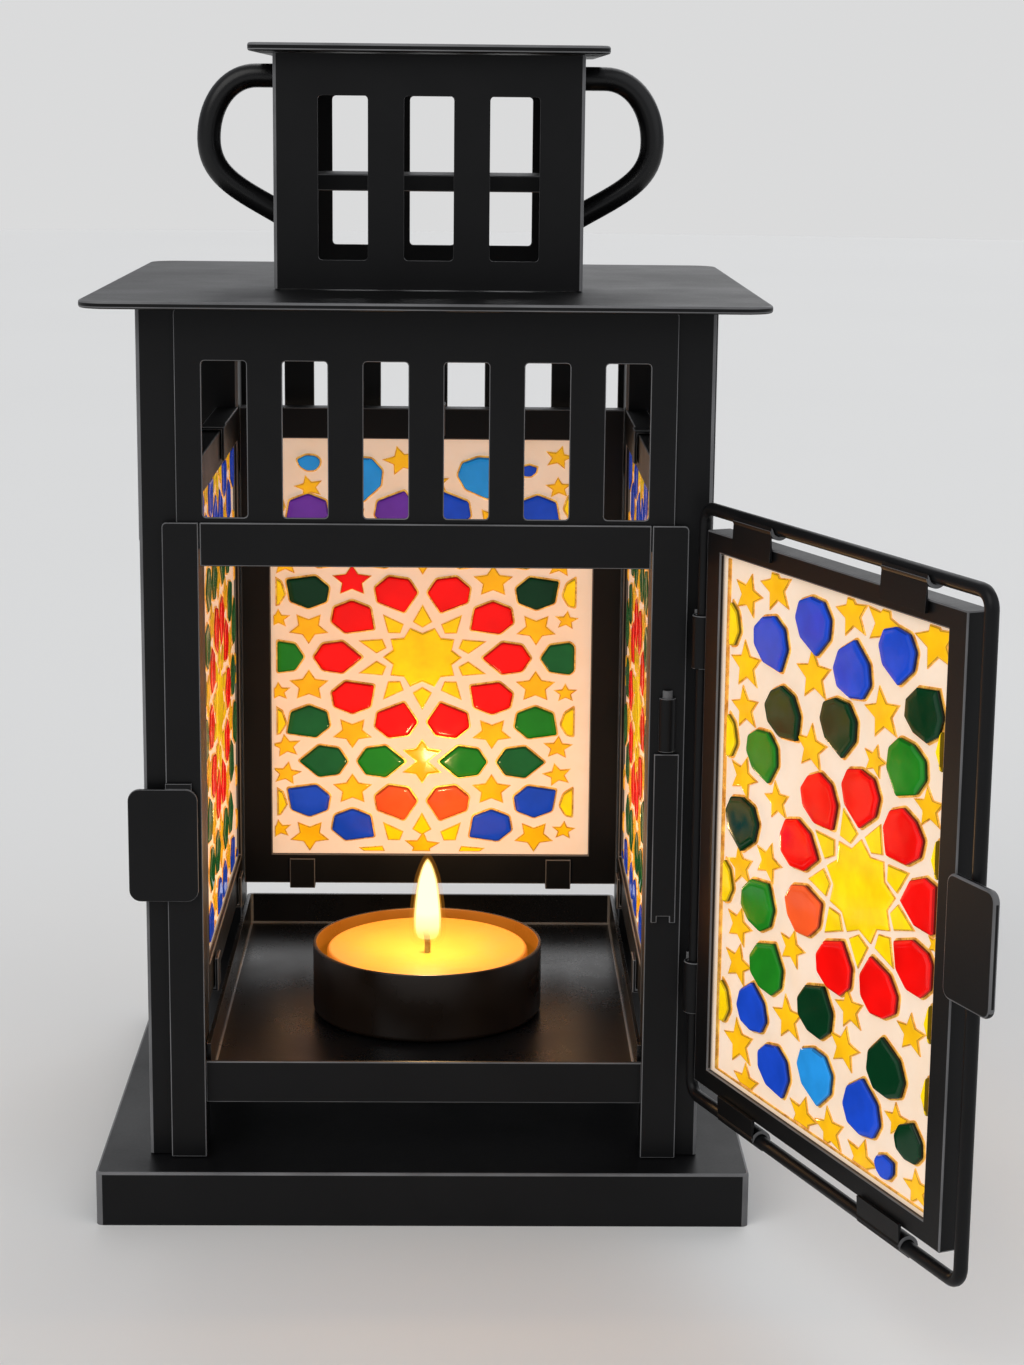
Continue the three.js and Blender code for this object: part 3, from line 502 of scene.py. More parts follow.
def clear_pane(finish):
    """Clear glass: a faint green, with smudges that dull its gloss."""
    smudge = finish.clouds(45, 4, 0.6)
    return finish.made(
        Base_Color=finish.mix(smudge, (0.78, 0.9, 0.86), (0.9, 0.95, 0.93)),
        Roughness=0.03 + smudge * 0.07,
        Alpha=0.1 + smudge * 0.06,
        Coat_Weight=1.0,
        Coat_Roughness=0.02,
        Specular_IOR_Level=1.0,
    )


def warm_wax(finish):
    """Warm cream wax with a painted glow of candle light, brighter where the flame stands over it."""
    cream = finish.own("wax")
    low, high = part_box("candle_wick")
    ends = {0: finish.place(), 1: tuple((low + high) / 2)}
    offset = finish.node("ShaderNodeVectorMath", {"operation": "DISTANCE"}, ends, output="Value")
    near = finish.between(offset, 1, 0, 0.003, 0.03, "SMOOTHSTEP")
    cloud = finish.clouds(90, 3)
    return finish.made(
        Base_Color=finish.mix(cloud, shade(cream, 0.92), cream),
        Roughness=finish.between(cloud, 0.28, 0.4),
        Subsurface_Weight=0.25,
        Subsurface_Radius=(1.0, 0.5, 0.2),
        Subsurface_Scale=0.004,
        # Painted candle light: the whole wax glows, brightest near the wick.
        Emission_Color=finish.mix(near, (0.6, 0.2, 0.012), (0.9, 0.42, 0.03)),
        Emission_Strength=finish.colours.glow * 0.7,
        Normal=finish.bump(finish.noise(300, 2), 0.05, 0.3),
    )


def charred_wick(finish):
    """Cotton, charred at the top and soaked with wax at its foot, which glows with painted candle light;
    the tip has a faint red ember glow.
    """
    ash = finish.clouds(1200, 3)
    share = finish.between(finish.height(), 0, 1, 0.049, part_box("candle_wick")[1].z)
    # The foot's bright orange is painted candle light.
    soaked, charred = (0.9, 0.5, 0.04), (0.1, 0.02, 0.005)
    stops = [(0.0, soaked), (1.0, (0.45, 0.07, 0.01)), (0.3, (0.5, 0.2, 0.02)), (0.45, charred)]
    warmth = finish.ramp(share, stops)
    return finish.made(
        Base_Color=finish.mix(ash, (0.03, 0.014, 0.008), (0.12, 0.06, 0.035)),
        Roughness=0.75 + ash * 0.2,
        Emission_Color=warmth,
        Emission_Strength=0.4,
        Normal=finish.bump(ash, 0.1, 1.0),
    )


def flame_light(finish, low, high, strength, alpha):
    """One shell of the flame, clear at its foot and brightest above its middle."""
    share = finish.between(finish.height(), 0, 1, FLAME_FOOT * MM, FLAME_TIP * MM)
    return finish.made(
        Base_Color=(0.0, 0.0, 0.0),
        Roughness=1.0,
        Specular_IOR_Level=0.0,
        Emission_Color=finish.ramp(share, [(0.0, low), (1.0, high), (0.12, low), (0.36, high)]),
        Emission_Strength=strength,
        Alpha=finish.between(share, 0.04, alpha, 0.02, 0.3, "SMOOTHSTEP"),
    )


def studio_floor(finish):
    pale = finish.own("floor")
    tint = finish.mix(finish.clouds(1.5, 3), pale, shade(pale, 0.985))
    return finish.made(Base_Color=tint, Roughness=0.7, Specular_IOR_Level=0.25)


FLAME_FOOT, FLAME_TIP = 50.0, 74.2
FLAME = {
    "flame haze": ((1.0, 0.34, 0.03), (1.0, 0.36, 0.03), 1.0, 0.05),
    "flame halo": ((1.0, 0.42, 0.04), (1.0, 0.44, 0.05), 1.1, 0.2),
    "flame body": ((1.0, 0.66, 0.1), (1.0, 0.78, 0.3), 1.6, 0.7),
    "flame heart": ((1.0, 0.82, 0.3), (1.0, 0.98, 0.93), 2.6, 1.0),
}
FINISHES = {
    "black coat": black_coat,
    "worn coat": worn_coat,
    "cup enamel": cup_enamel,
    "gem glass": gem_glass,
    "grout": grout,
    "gold line": gold_line,
    "clear pane": clear_pane,
    "warm wax": warm_wax,
    "charred wick": charred_wick,
    "studio floor": studio_floor,
}


def finished(name):
    """The material of this name, which is made when it is first asked for."""
    made = bpy.data.materials.get(name)
    if made:
        return made
    if name in FLAME:
        return flame_light(Finish(name), *FLAME[name])
    return FINISHES[name](Finish(name))


def deliver(piece, body, slot, finish, *nodes):
    """Gives a piece its finish, and the frame body and nodes that it stands for."""
    piece.data.materials.clear()
    piece.data.materials.append(finished(finish))
    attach(piece, body)
    if nodes:
        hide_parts(*nodes)


def noted(piece, name, tint):
    """Writes a colour for each face of a piece into its mesh."""
    own = piece.data.color_attributes.new(name, "FLOAT_COLOR", "CORNER")
    for face in piece.data.polygons:
        colour = (*tint(face), 1)
        for corner in face.loop_indices:
            own.data[corner].color = colour


def narrow(face, mesh):
    """Whether a face is one of the narrow ones of a rounded edge, and not on the underside: where the
    painted edge highlight goes.
    """
    around = sum((mesh.vertices[a].co - mesh.vertices[b].co).length for a, b in face.edge_keys)
    return 2 * face.area / around < THIN_FACE * MM and face.normal.z > -0.4


def steel(piece, *nodes, body="lantern", edge_highlighted=True, finish="black coat"):
    smooth(piece)
    # Marks the faces that carry the painted edge highlight.
    noted(piece, "thin_paint", lambda face: [float(edge_highlighted and narrow(face, piece.data))] * 3)
    deliver(piece, body, "black_steel", finish, *nodes)


def folded(node, name, width, steps=3, body="lantern"):
    """A steel piece in a frame node's own shape, made whole and with its sheet edges eased."""
    piece = linked(name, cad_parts[node].data.copy())
    piece.data.name = name
    alone(piece)
    bpy.ops.mesh.customdata_custom_splitnormals_clear()
    edit(piece)
    bpy.ops.mesh.remove_doubles(threshold=0.002 * MM)
    bpy.ops.mesh.dissolve_limited(angle_limit=math.radians(1))
    done()
    ease(piece, width, steps)
    steel(piece, node, body=body)


def four_sided(piece, nodes, tail):
    """Sets a piece and its copies round the lantern, a quarter turn apart."""
    for turn, node in enumerate(nodes):
        twin = copied(piece, node + tail) if turn else piece
        steel(placed(twin, 90 * turn), node)


# Plinth, posts and roof


def build_plinth(sizes):
    sheet = 1.5
    plinth, low, high = block("plinth_shell", "plinth")
    round_edges(plinth, sizes.plinth_corner / MM, 8, upright)
    round_edges(plinth, 0.6, 4, lambda middle, way: middle.z > high.z - NEAR)
    sink(plinth, -1, sheet, high.z - low.z - sheet)
    round_edges(plinth, 0.25, 2, lambda middle, way: middle.z < low.z + NEAR)
    steel(plinth, "plinth")


def build_posts(sizes):
    post, low, high = block("post_back_right_tube", "post_back_right")
    round_edges(post, sizes.edge / MM, 4, upright)
    hollow(post, 1)
    corners = ["post_back_right", "post_back_left", "post_front_left", "post_front_right"]
    four_sided(post, corners, "_tube")


def build_roof():
    opening = 33  # half of the opening under the chimney
    roof, low, high = block("roof_sheet", "roof_plate")
    round_edges(roof, 7, 10, upright)
    flue = box("flue", (-opening, -opening, low.z - 2), (opening, opening, high.z + 2))
    round_edges(flue, 1.2, 3, upright)
    pierce(roof, flue)
    ease(roof, 0.55, 3)
    steel(roof, "roof_plate")


# Fascias and portal


def slots(count, pitch, width, low, high, depth, corner):
    """A row of upright cutters with rounded corners, which reach through a depth from y to y."""
    tools = []
    for i in range(count):
        x = (i - (count - 1) / 2) * pitch
        tool = box("slot", (x - width / 2, depth[0], low), (x + width / 2, depth[1], high))
        round_edges(tool, corner, 3, crosswise)
        tools.append(tool)
    return tools


def build_fascias():
    sheet, low, high = block("fascia_back_sheet", "fascia_back")
    round_edges(sheet, 1.2, 4, crosswise)
    count, pitch, width, foot, top = 6, 18.7, 10.4, 171.5, 207.9
    pierce(sheet, *slots(count, pitch, width, foot, top, (low.y - 2, high.y + 2), 0.8))
    ease(sheet, 0.2)
    four_sided(sheet, ["fascia_" + side for side in ("back", "left", "front", "right")], "_sheet")


def build_portal():
    step = 163.7  # height at which a jamb steps forward over the fascia
    for node in ["jamb_left", "jamb_right"]:
        jamb, low, high = block(node + "_strip", node)
        outer = max(abs(low.x), abs(high.x))
        fascia = box("fascia", (low.x - 1, low.y + 1, step), high + Vector((1, 1, 1)))
        pierce(jamb, fascia)

        def outer_corner(middle, way):
            at_corner = middle.z > high.z - 0.1 and abs(middle.x) > outer - 0.1
            return at_corner and crosswise(middle, way)

        round_edges(jamb, 1.1, 4, outer_corner)
        ease(jamb, 0.25)
        steel(jamb, node)
    header, low, high = block("header_bar", "header_rail")
    ease(header, 0.3, 3)
    steel(header, "header_rail")


# Rails and tray


def build_tray():
    for node in ["rail_back", "rail_left", "rail_front", "rail_right"]:
        folded(node, node + "_strip", 0.3)

    sheet = 1.0
    tray, low, high = block("tray_pan", "candle_tray")
    round_edges(tray, 1.6, 4, upright)
    sink(tray, 1, sheet, high.z - low.z - sheet)
    front = box("front", (low.x - 1, low.y - 1, low.z + 5.6), (high.x + 1, low.y + 1.4, high.z + 1))
    pierce(tray, front)
    round_edges(tray, 0.8, 3, lambda middle, way: abs(middle.z - low.z - sheet) < NEAR)
    ease(tray, 0.28, 2, 40)
    steel(tray, "candle_tray", finish="worn coat")


# Chimney


def build_chimney():
    chimney, low, high = block("chimney_walls", "chimney")
    round_edges(chimney, 0.8, 4, upright)
    hollow(chimney, 1.2)
    count, pitch, width, height, sill = 3, 20.5, 11.9, 38.7, low.z + 6.9
    for turn in (0, 90):
        windows = slots(count, pitch, width, sill, sill + height, (low.y - 2, high.y + 2), 0.95)
        pierce(chimney, *[placed(window, turn) for window in windows])
    ease(chimney, 0.22)
    steel(chimney, "chimney")

    cap, low, high = block("chimney_lid", "chimney_cap")
    round_edges(cap, 3.5, 8, upright)
    ease(cap, 0.6, 3)
    steel(cap, "chimney_cap")
    folded("chimney_baffle", "chimney_damper", 0.25)


def build_handles():
    low, high = span("handle_right")
    chimney = span("chimney")[1].x
    wall = chimney - 0.7
    radius = (high.y - low.y) / 2
    out, top, foot = high.x - radius, high.z - radius, 238.0
    belly = top - (top - foot) * 0.45  # height at which the handle stands out furthest
    curve = [
        ((wall, top), (wall - 1, top), (wall + 2, top)),
        ((chimney + 6.4, top), (chimney + 4, top), (out - 4.97, top)),
        ((out, belly), (out, top - (top - belly) * 0.45), (out, belly - (belly - foot) * 0.5)),
        ((wall, foot), (chimney + 10.6, foot + (belly - foot) * 0.34), (wall - 1, foot - 0.4)),
    ]
    knots = [[(x, 0, z) for x, z in knot] for knot in curve]
    right = tube("handle_right_bar", knots, radius, 18)
    left = copied(right, "handle_left_bar")
    steel(right, "handle_right", edge_highlighted=False, finish="worn coat")
    steel(placed(left, 180), "handle_left", edge_highlighted=False, finish="worn coat")


# Rosette pattern. A hidden grid of decagons, pentagons and long hexagons with edges of one length:
# straps cross the middle of each edge, and glass fills what they leave.

GRID = 2  # columns and rows on each side of the middle
TENTH = math.pi / 5
DECAGON_RADIUS = 1 / (2 * math.sin(TENTH / 2))
DECAGON_APOTHEM = 1 / (2 * math.tan(TENTH / 2))
PENTAGON_RADIUS = 1 / (2 * math.sin(TENTH))
PENTAGON_APOTHEM = 1 / (2 * math.tan(TENTH))
LATTICE = 2 * DECAGON_RADIUS + 1
COLUMN = LATTICE * math.cos(TENTH)
ROW = 2 * LATTICE * math.sin(TENTH)
STRAP_ANGLE = math.radians(62)  # between a strap and the edge that it crosses
STAR = 0.57  # of the room between the straps
STAR_NOTCH = 0.47  # of a star's own radius
HEART_TIP, HEART_NOTCH = 0.74, 0.58
KITE_TIP, KITE_SHOULDER, KITE_FOOT, KITE_WIDTH = 1.26, 0.84, 0.7, 0.37
HALF_GEM = [(-0.66, 0.0), (-0.3, 0.45), (0.12, 0.56), (0.48, 0.38), (0.58, 0.0)]
GEM = HALF_GEM + [(x, -y) for x, y in HALF_GEM[3:0:-1]]


def ring(x, y, radius, count, start):
    angles = [start + 2 * math.pi * i / count for i in range(count)]
    return [(x + radius * math.cos(a), y + radius * math.sin(a)) for a in angles]


def grid_tiles():
    """The tiles of the hidden grid as (x, y, corners)."""
    tiles = []
    beside = DECAGON_APOTHEM + PENTAGON_APOTHEM
    waist, shoulder = DECAGON_RADIUS / 2, ROW / 2 - DECAGON_APOTHEM
    for column in range(-GRID, GRID + 1):
        for row in range(-GRID, GRID + 1):
            x = column * COLUMN
            y = (row + (0.5 if column % 2 else 0)) * ROW
            tiles.append((x, y, ring(x, y, DECAGON_RADIUS, 10, 0)))
            for step in (1.5, 3.5, 6.5, 8.5):
                angle = step * TENTH
                px, py = x + beside * math.cos(angle), y + beside * math.sin(angle)
                tiles.append((px, py, ring(px, py, PENTAGON_RADIUS, 5, angle)))
            y += ROW / 2
            right = [(x + 0.5, y - shoulder), (x + waist, y), (x + 0.5, y + shoulder)]
            left = [(x - 0.5, y + shoulder), (x - waist, y), (x - 0.5, y - shoulder)]
            tiles.append((x, y, right + left))
    return tiles


def strap_corner(before, corner, after):
    """Where the straps from the two edges at a corner meet inside the tile."""
    back = Vector(before) - Vector(corner)
    ahead = Vector(after) - Vector(corner)
    half = back.angle(ahead) / 2
    reach = 0.5 * math.sin(STRAP_ANGLE) / math.sin(STRAP_ANGLE + half)
    met = Vector(corner) + (back + ahead).normalized() * reach
    return met.x, met.y


def rosette(x, y, count=10, start=0.0, broad=1.0):
    """The pointed heart of a rosette and the ring of kites round it."""
    heart, kites = [], []
    half = math.pi / count
    for i in range(count):
        angle = start + i * 2 * half
        heart += ring(x, y, HEART_TIP * broad, 1, angle)
        heart += ring(x, y, HEART_NOTCH * broad, 1, angle + half)
        out = Vector((math.cos(angle + half), math.sin(angle + half))) * (1 + broad) / 2
        side = Vector((-out.y, out.x)) * KITE_WIDTH / 2 * broad
        shoulder = out * KITE_SHOULDER
        points = [out * KITE_TIP, shoulder + side, out * KITE_FOOT, shoulder - side]
        kites.append([(x + p.x, y + p.y) for p in points])
    return heart, kites


def star_outline(x, y, size):
    """A five-pointed star standing on two points, turned a little by its place."""
    turn = math.pi / 2 + 0.25 * math.sin(3 * x + 2 * y)
    radii = [size, size * STAR_NOTCH] * 5
    return [ring(x, y, radius, 1, turn + i * math.pi / 5)[0] for i, radius in enumerate(radii)]


def gem_outline(x, y, tip, size=1.0):
    """A gem at a place, its pointed end towards an angle in degrees."""
    turn = math.radians(tip) - math.pi
    across, along = size * math.cos(turn), size * math.sin(turn)
    return [(x + px * across - py * along, y + px * along + py * across) for px, py in GEM]


def grid_cells():
    """Every cell as (kind, centre, outline), in edges of the hidden grid."""
    gems, cells = {}, []
    for x, y, points in grid_tiles():
        ahead = points[1:] + points[:1]
        corners = [strap_corner(points[i - 1], point, ahead[i]) for i, point in enumerate(points)]
        middles = [((a[0] + b[0]) / 2, (a[1] + b[1]) / 2) for a, b in zip(points, ahead)]
        for i, point in enumerate(points):
            key = round(point[0], 2) + 0.0, round(point[1], 2) + 0.0
            gems.setdefault(key, (point, []))[1].extend([corners[i], middles[i - 1], middles[i]])
        if len(points) == 10:
            heart, kites = rosette(x, y)
            cells.append(("heart", (x, y), heart))
            cells += [("kite", (x, y), kite) for kite in kites]
        else:
            star = [p for pair in zip(corners, middles) for p in pair]
            star = [(x + (px - x) * STAR, y + (py - y) * STAR) for px, py in star]
            cells.append(("star", (x, y), star))
    for (x, y), marks in gems.values():
        marks.sort(key=lambda p: math.atan2(p[1] - y, p[0] - x))
        outline = [p for i, p in enumerate(marks) if math.dist(p, marks[i - 1]) > 0.01]
        cells.append(("gem", (x, y), outline))
    return cells


# What is listed one by one: stars are (x, y, size), and gems are (x, y, angle of the tip, glass, size)
PALETTE = ["red", "orange", "green", "leaf", "pine", "blue", "sky", "violet", "yellow", "amber"]
BACK_CHOICES = {
    (-2.1, 1.5): "pine", (2.1, 1.5): "pine", (-2.6, 0.0): "leaf", (2.1, -1.5): "leaf",
    (-0.8, -2.5): "leaf", (0.8, -2.5): "leaf", (-0.5, -3.4): "orange", (0.5, -3.4): "orange",
    (-2.1, 3.4): "violet", (-0.5, 3.4): "violet", (-1.3, 1.8): "red",
}  # fmt: skip
BACK_LEFT_OUT = [(x, y) for x in (-2.9, 2.9) for y in (-4.0, -1.0, 1.0)]
BACK_LEFT_OUT += [(x, -5.0) for x in (-2.6, -1.6, 1.6, 2.6)]
BACK_STARS = [(x, y, 0.2) for x in (-2.68, 2.68) for y in (-4.15, -0.83, 0.9)]
BACK_STARS += [(x, y, 0.25) for x in (-2.55, 2.55) for y in (-2.8, -2.14, 2.2, 2.8)]
BACK_STARS += [(-2.1, 3.98, 0.24), (-0.4, 4.6, 0.3), (0.25, 4.1, 0.22), (0.1, 4.75, 0.2)]
BACK_STARS += [(2.5, 4.7, 0.24), (2.5, 4.0, 0.22)]
BACK_GEMS = [(x, y, 90, "yellow", 0.85) for x in (-2.95, 3.0) for y in (-3.45, -1.5, 1.57, 3.6)]
BACK_GEMS += [(-2.1, 4.55, 160, "sky", 0.5), (-1.2, 4.2, -80, "sky")]
BACK_GEMS += [(1.1, 4.25, -80, "sky", 0.95), (1.95, 4.4, 30, "blue", 0.4)]
DOOR_STARS = [
    (-3.3, 4.4, 0.36), (-2.5, 4.7, 0.4), (-3.3, 3.1, 0.4), (-1.4, 3.4, 0.42), (-3.3, 2.3, 0.36),
    (-1.4, 2.1, 0.38), (-3.3, 1.0, 0.36), (-2.3, 0.85, 0.32), (-0.45, 4.7, 0.38), (0.35, 4.7, 0.4),
    (1.6, 4.7, 0.44), (0.4, 3.2, 0.4), (0.25, 2.35, 0.26), (1.6, 1.95, 0.32), (-3.3, -0.7, 0.34),
    (-2.5, -0.35, 0.34), (-3.3, -1.85, 0.34), (-1.75, -1.7, 0.32), (-3.3, -2.6, 0.36),
    (-1.8, -3.05, 0.38), (-0.15, -2.2, 0.34), (-0.25, -2.95, 0.36), (-3.2, -4.1, 0.4),
    (1.4, -2.0, 0.32), (-1.3, -4.7, 0.36), (-0.55, -4.6, 0.36), (0.3, -4.75, 0.36),
    (1.15, -3.65, 0.28), (-2.95, -4.8, 0.34), (1.7, -4.6, 0.3), (1.88, -0.27, 0.18),
]  # fmt: skip
DOOR_GEMS = [
    (-2.15, 2.5, -45, "pine"), (-0.65, 2.7, -78, "pine"), (1.05, 2.45, -110, "leaf"),
    (1.45, 3.5, 60, "pine", 0.95), (-2.7, 1.6, -70, "leaf", 0.95), (-3.25, 0.15, -90, "pine"),
    (-2.7, -1.2, 60, "leaf"), (-2.4, -2.3, 70, "leaf"), (-1.0, -2.55, 70, "pine"),
    (0.85, -2.85, 100, "pine"), (1.5, -3.85, 80, "pine", 0.75), (-2.55, 3.7, -60, "blue"),
    (-1.4, 4.3, -80, "blue"), (-0.35, 3.75, 85, "blue"), (0.75, 4.3, -85, "blue", 0.95),
    (-2.8, -3.25, 90, "blue", 0.92), (-2.1, -4.15, -60, "blue", 0.95), (-0.95, -3.75, -80, "sky"),
    (0.3, -3.8, 90, "blue"), (0.95, -4.55, 40, "blue", 0.55),
]  # fmt: skip
DOOR_GEMS += [(-3.95, y, 90, "yellow") for y in (3.8, 1.7, -1.1, -3.45)]
DOOR_GEMS += [(2.25, y, 90, "yellow") for y in (3.05, 1.25, -1.55, -2.8)]


def chosen(kind, x, y, choices):
    """The glass of a cell: rings of red, green and blue gems, and yellow stars."""
    if (x, y) in choices and kind in ("gem", "star"):
        return choices[(x, y)]
    if kind == "star":
        return "amber"
    if kind != "gem":
        return "yellow"
    away = math.hypot(x, y)
    return "red" if away < 2 else "green" if away < 3.3 else "blue"


def regular_cells(pane):
    """One whole rosette and the grid round it, with the glass of each cell."""
    cells = []
    for kind, centre, outline in grid_cells():
        x, y = round(centre[0], 1) + 0.0, round(centre[1], 1) + 0.0
        if y > pane["highest"]:
            continue
        if kind == "heart" and (x, y) != (0, 0):
            cells += [("star", star_outline(x, y + rise, 0.36), "amber") for rise in (-0.45, 0.45)]
        elif not (kind == "kite" and abs(x) > 1) and (kind, x, y) not in pane["left_out"]:
            cells.append((kind, outline, chosen(kind, x, y, pane["choices"])))
    return cells


def ninefold_cells(pane):
    """The door's own rosette, with nine gems round its heart."""
    count, start, broad, away, orange = 9, math.radians(11), 1.22, 1.64, 5
    heart, kites = rosette(0, 0, count, start, broad)
    cells = [("heart", heart, "yellow")] + [("kite", kite, "yellow") for kite in kites]
    for i in range(count):
        angle = start + i * 2 * math.pi / count
        outline = gem_outline(away * math.cos(angle), away * math.sin(angle), math.degrees(angle) + 180)
        cells.append(("gem", outline, "orange" if i == orange else "red"))
    return cells


def pane_cells(pane):
    """Every cell of a pane as (kind, outline, glass), measured from the pane's middle."""
    cells = pane["grid"](pane)
    cells += [("star", star_outline(x, y, size * 1.2), "amber") for x, y, size in pane["stars"]]
    cells += [("gem", gem_outline(x, y, tip, *size), glass) for x, y, tip, glass, *size in pane["gems"]]
    across, up = pane["tile"]
    shift, rise = pane["centre"]
    return [
        (kind, [(shift + x * across, rise + y * up) for x, y in outline], glass)
        for kind, outline, glass in cells
    ]


SMALLEST = 3  # square millimetres of a cell that is worth its glass


def flat_cells(name, pane, kinds, inset):
    """Flat faces towards -Y for the cells of a pane, clipped to it and drawn in."""
    left, right, bottom, top = pane["area"]
    corners, faces, glass = [], [], []
    for kind, points, colour in pane["cells"]:
        if kind not in kinds or not any(left < x < right and bottom < y < top for x, y in points):
            continue
        faces.append(range(len(corners), len(corners) + len(points)))
        corners += [(x * MM, 0, y * MM) for x, y in points]
        glass.append(PALETTE.index(colour))
    mesh = bpy.data.meshes.new(name)
    mesh.from_pydata(corners, [], faces)
    for face, colour in zip(mesh.polygons, glass):
        face.material_index = colour
    piece = linked(name, mesh)
    for colour in PALETTE:
        mesh.materials.append(None)
    edit(piece)
    for point, normal in [
        ((left, 0, 0), (-1, 0, 0)),
        ((right, 0, 0), (1, 0, 0)),
        ((0, 0, bottom), (0, 0, -1)),
        ((0, 0, top), (0, 0, 1)),
    ]:
        bpy.ops.mesh.select_all(action="SELECT")
        bpy.ops.mesh.bisect(plane_co=Vector(point) * MM, plane_no=normal, clear_outer=True)
    bpy.ops.mesh.select_all(action="SELECT")
    if inset > 0:
        bpy.ops.mesh.inset(thickness=inset * MM, use_individual=True, use_even_offset=True)
        bpy.ops.mesh.select_all(action="INVERT")
        bpy.ops.mesh.delete(type="FACE")
    done()
    if pick_faces(piece, lambda face: face.calc_area() < SMALLEST * MM * MM):
        bpy.ops.mesh.delete(type="FACE")
    done()
    if pick_faces(piece, lambda face: face.normal.y > 0):
        bpy.ops.mesh.flip_normals()
    done()
    return piece


def round_corners(piece, corner, steps):
    """Rounds the corners of flat cells: fully where the edges are long enough, else a little."""
    shortest = 2.2 * corner * MM
    bevel = {"segments": steps, "affect": "VERTICES", "clamp_overlap": True}
    if pick_faces(piece, lambda face: min(e.calc_length() for e in face.edges) < shortest):
        bpy.ops.mesh.bevel(offset=corner * MM / 4, **bevel)
        bpy.ops.mesh.hide()
    bpy.ops.mesh.select_all(action="SELECT")
    bpy.ops.mesh.bevel(offset=corner * MM, **bevel)
    bpy.ops.mesh.reveal()
    done()


def grown(piece, back, front, rounds):
    """Draws flat cells forward into closed blocks, and steps their faces in by the rounds."""
    edit(piece)
    bpy.ops.transform.translate(value=(0, back * MM, 0))
    push(y=front - back)
    for share, depth in rounds:
        bpy.ops.mesh.inset(thickness=0, use_individual=True)
        draft = bmesh.from_edit_mesh(piece.data)
        for face in draft.faces:
            if face.select:
                middle = face.calc_center_median()
                for corner in face.verts:
                    corner.co = middle + (corner.co - middle) * share
                    corner.co.y -= depth * MM
        bmesh.update_edit_mesh(piece.data)
    face_out()


def colour_gems(piece, colours):
    """Writes each gem's own colour into the mesh, with painted shade on its sloping rim."""

    def tint(face):
        # Painted shade: about half the colour on the sloping rim, an eighth on the steep sides.
        slope = abs(face.normal.y)
        painted_rim_shade = 1.0 if slope > 0.93 else 0.55 if slope > 0.2 else 0.12
        return shade(getattr(colours, PALETTE[face.material_index]), painted_rim_shade)

    noted(piece, "gem_colour", tint)
    for face in piece.data.polygons:
        face.material_index = 0
    piece.data.materials.clear()


def build_mosaic(name, pane, place, body, scene):
    """Grout slab, gold outlines and glass for one pane, made round the pane's middle."""
    width, height, slab_front, slab_back = pane["slab"]
    slab = box(name + "_grout", (-width / 2, slab_front, -height / 2), (width / 2, slab_back, height / 2))
    ease(slab, 0.15)
    smooth(slab)
    deliver(place(slab), body, "mosaic_glass", "grout", name + "_mosaic")

    pane["cells"] = pane_cells(pane)
    strap = scene.lantern_sizes.strap_width / MM / 2
    high, low = slab_front - pane["relief"], slab_front - 0.3
    outlines, glass = [], []
    for kinds, inset, line, rim_corner, corner, steps, front, rounds in [
        (["gem"], strap, 0.45, 0.7, 0.5, 2, high, [(0.965, 0.2), (0.94, 0.12), (0.8, 0.06)]),
        (["star"], 0.2, 0.34, 0.12, 0.12, 1, low, [(0.93, 0.14), (0.9, 0.05)]),
        (["heart", "kite"], 0.2, 0.32, 0.12, 0.12, 1, low, [(0.95, 0.14), (0.94, 0.05)]),
    ]:
        rim = flat_cells("rim", pane, kinds, inset - line)
        round_corners(rim, rim_corner, steps)
        grown(rim, slab_back + 0.06, slab_front - 0.22, [(0.98, 0.06)])
        outlines.append(rim)
        gems = flat_cells("gems", pane, kinds, inset)
        round_corners(gems, corner, steps)
        grown(gems, slab_back + 0.12, front, rounds)
        colour_gems(gems, scene.lantern_colours)
        glass.append(gems)
    for left, bottom, right, top in pane["strips"]:
        strip = box("strip", (left, slab_front - 0.3, bottom), (right, slab_front + 0.4, top))
        ease(strip, 0.2)
        outlines.append(strip)
    for tail, parts, angle, finish in [
        ("outlines", outlines, 40, "gold line"),
        ("gems", glass, 25, "gem glass"),
    ]:
        piece = joined(name + "_" + tail, parts)
        smooth(piece, angle)
        deliver(place(piece), body, "mosaic_glass", finish)


def side_casing(name):
    """A panel's sheet frame with a narrow border beside the glass: a folded tray with an opening."""
    half, rise, wall = 53.2, 68.1, 1
    casing = box(name, (-half, 0, -rise), (half, 6, rise))
    pierce(casing, box("pocket", (wall - half, 1.2, wall - rise), (half - wall, 7, rise - wall)))
    pierce(casing, box("opening", (-50, -1, -59), (50, 2, 59)))
    ease(casing, 0.3)
    return casing


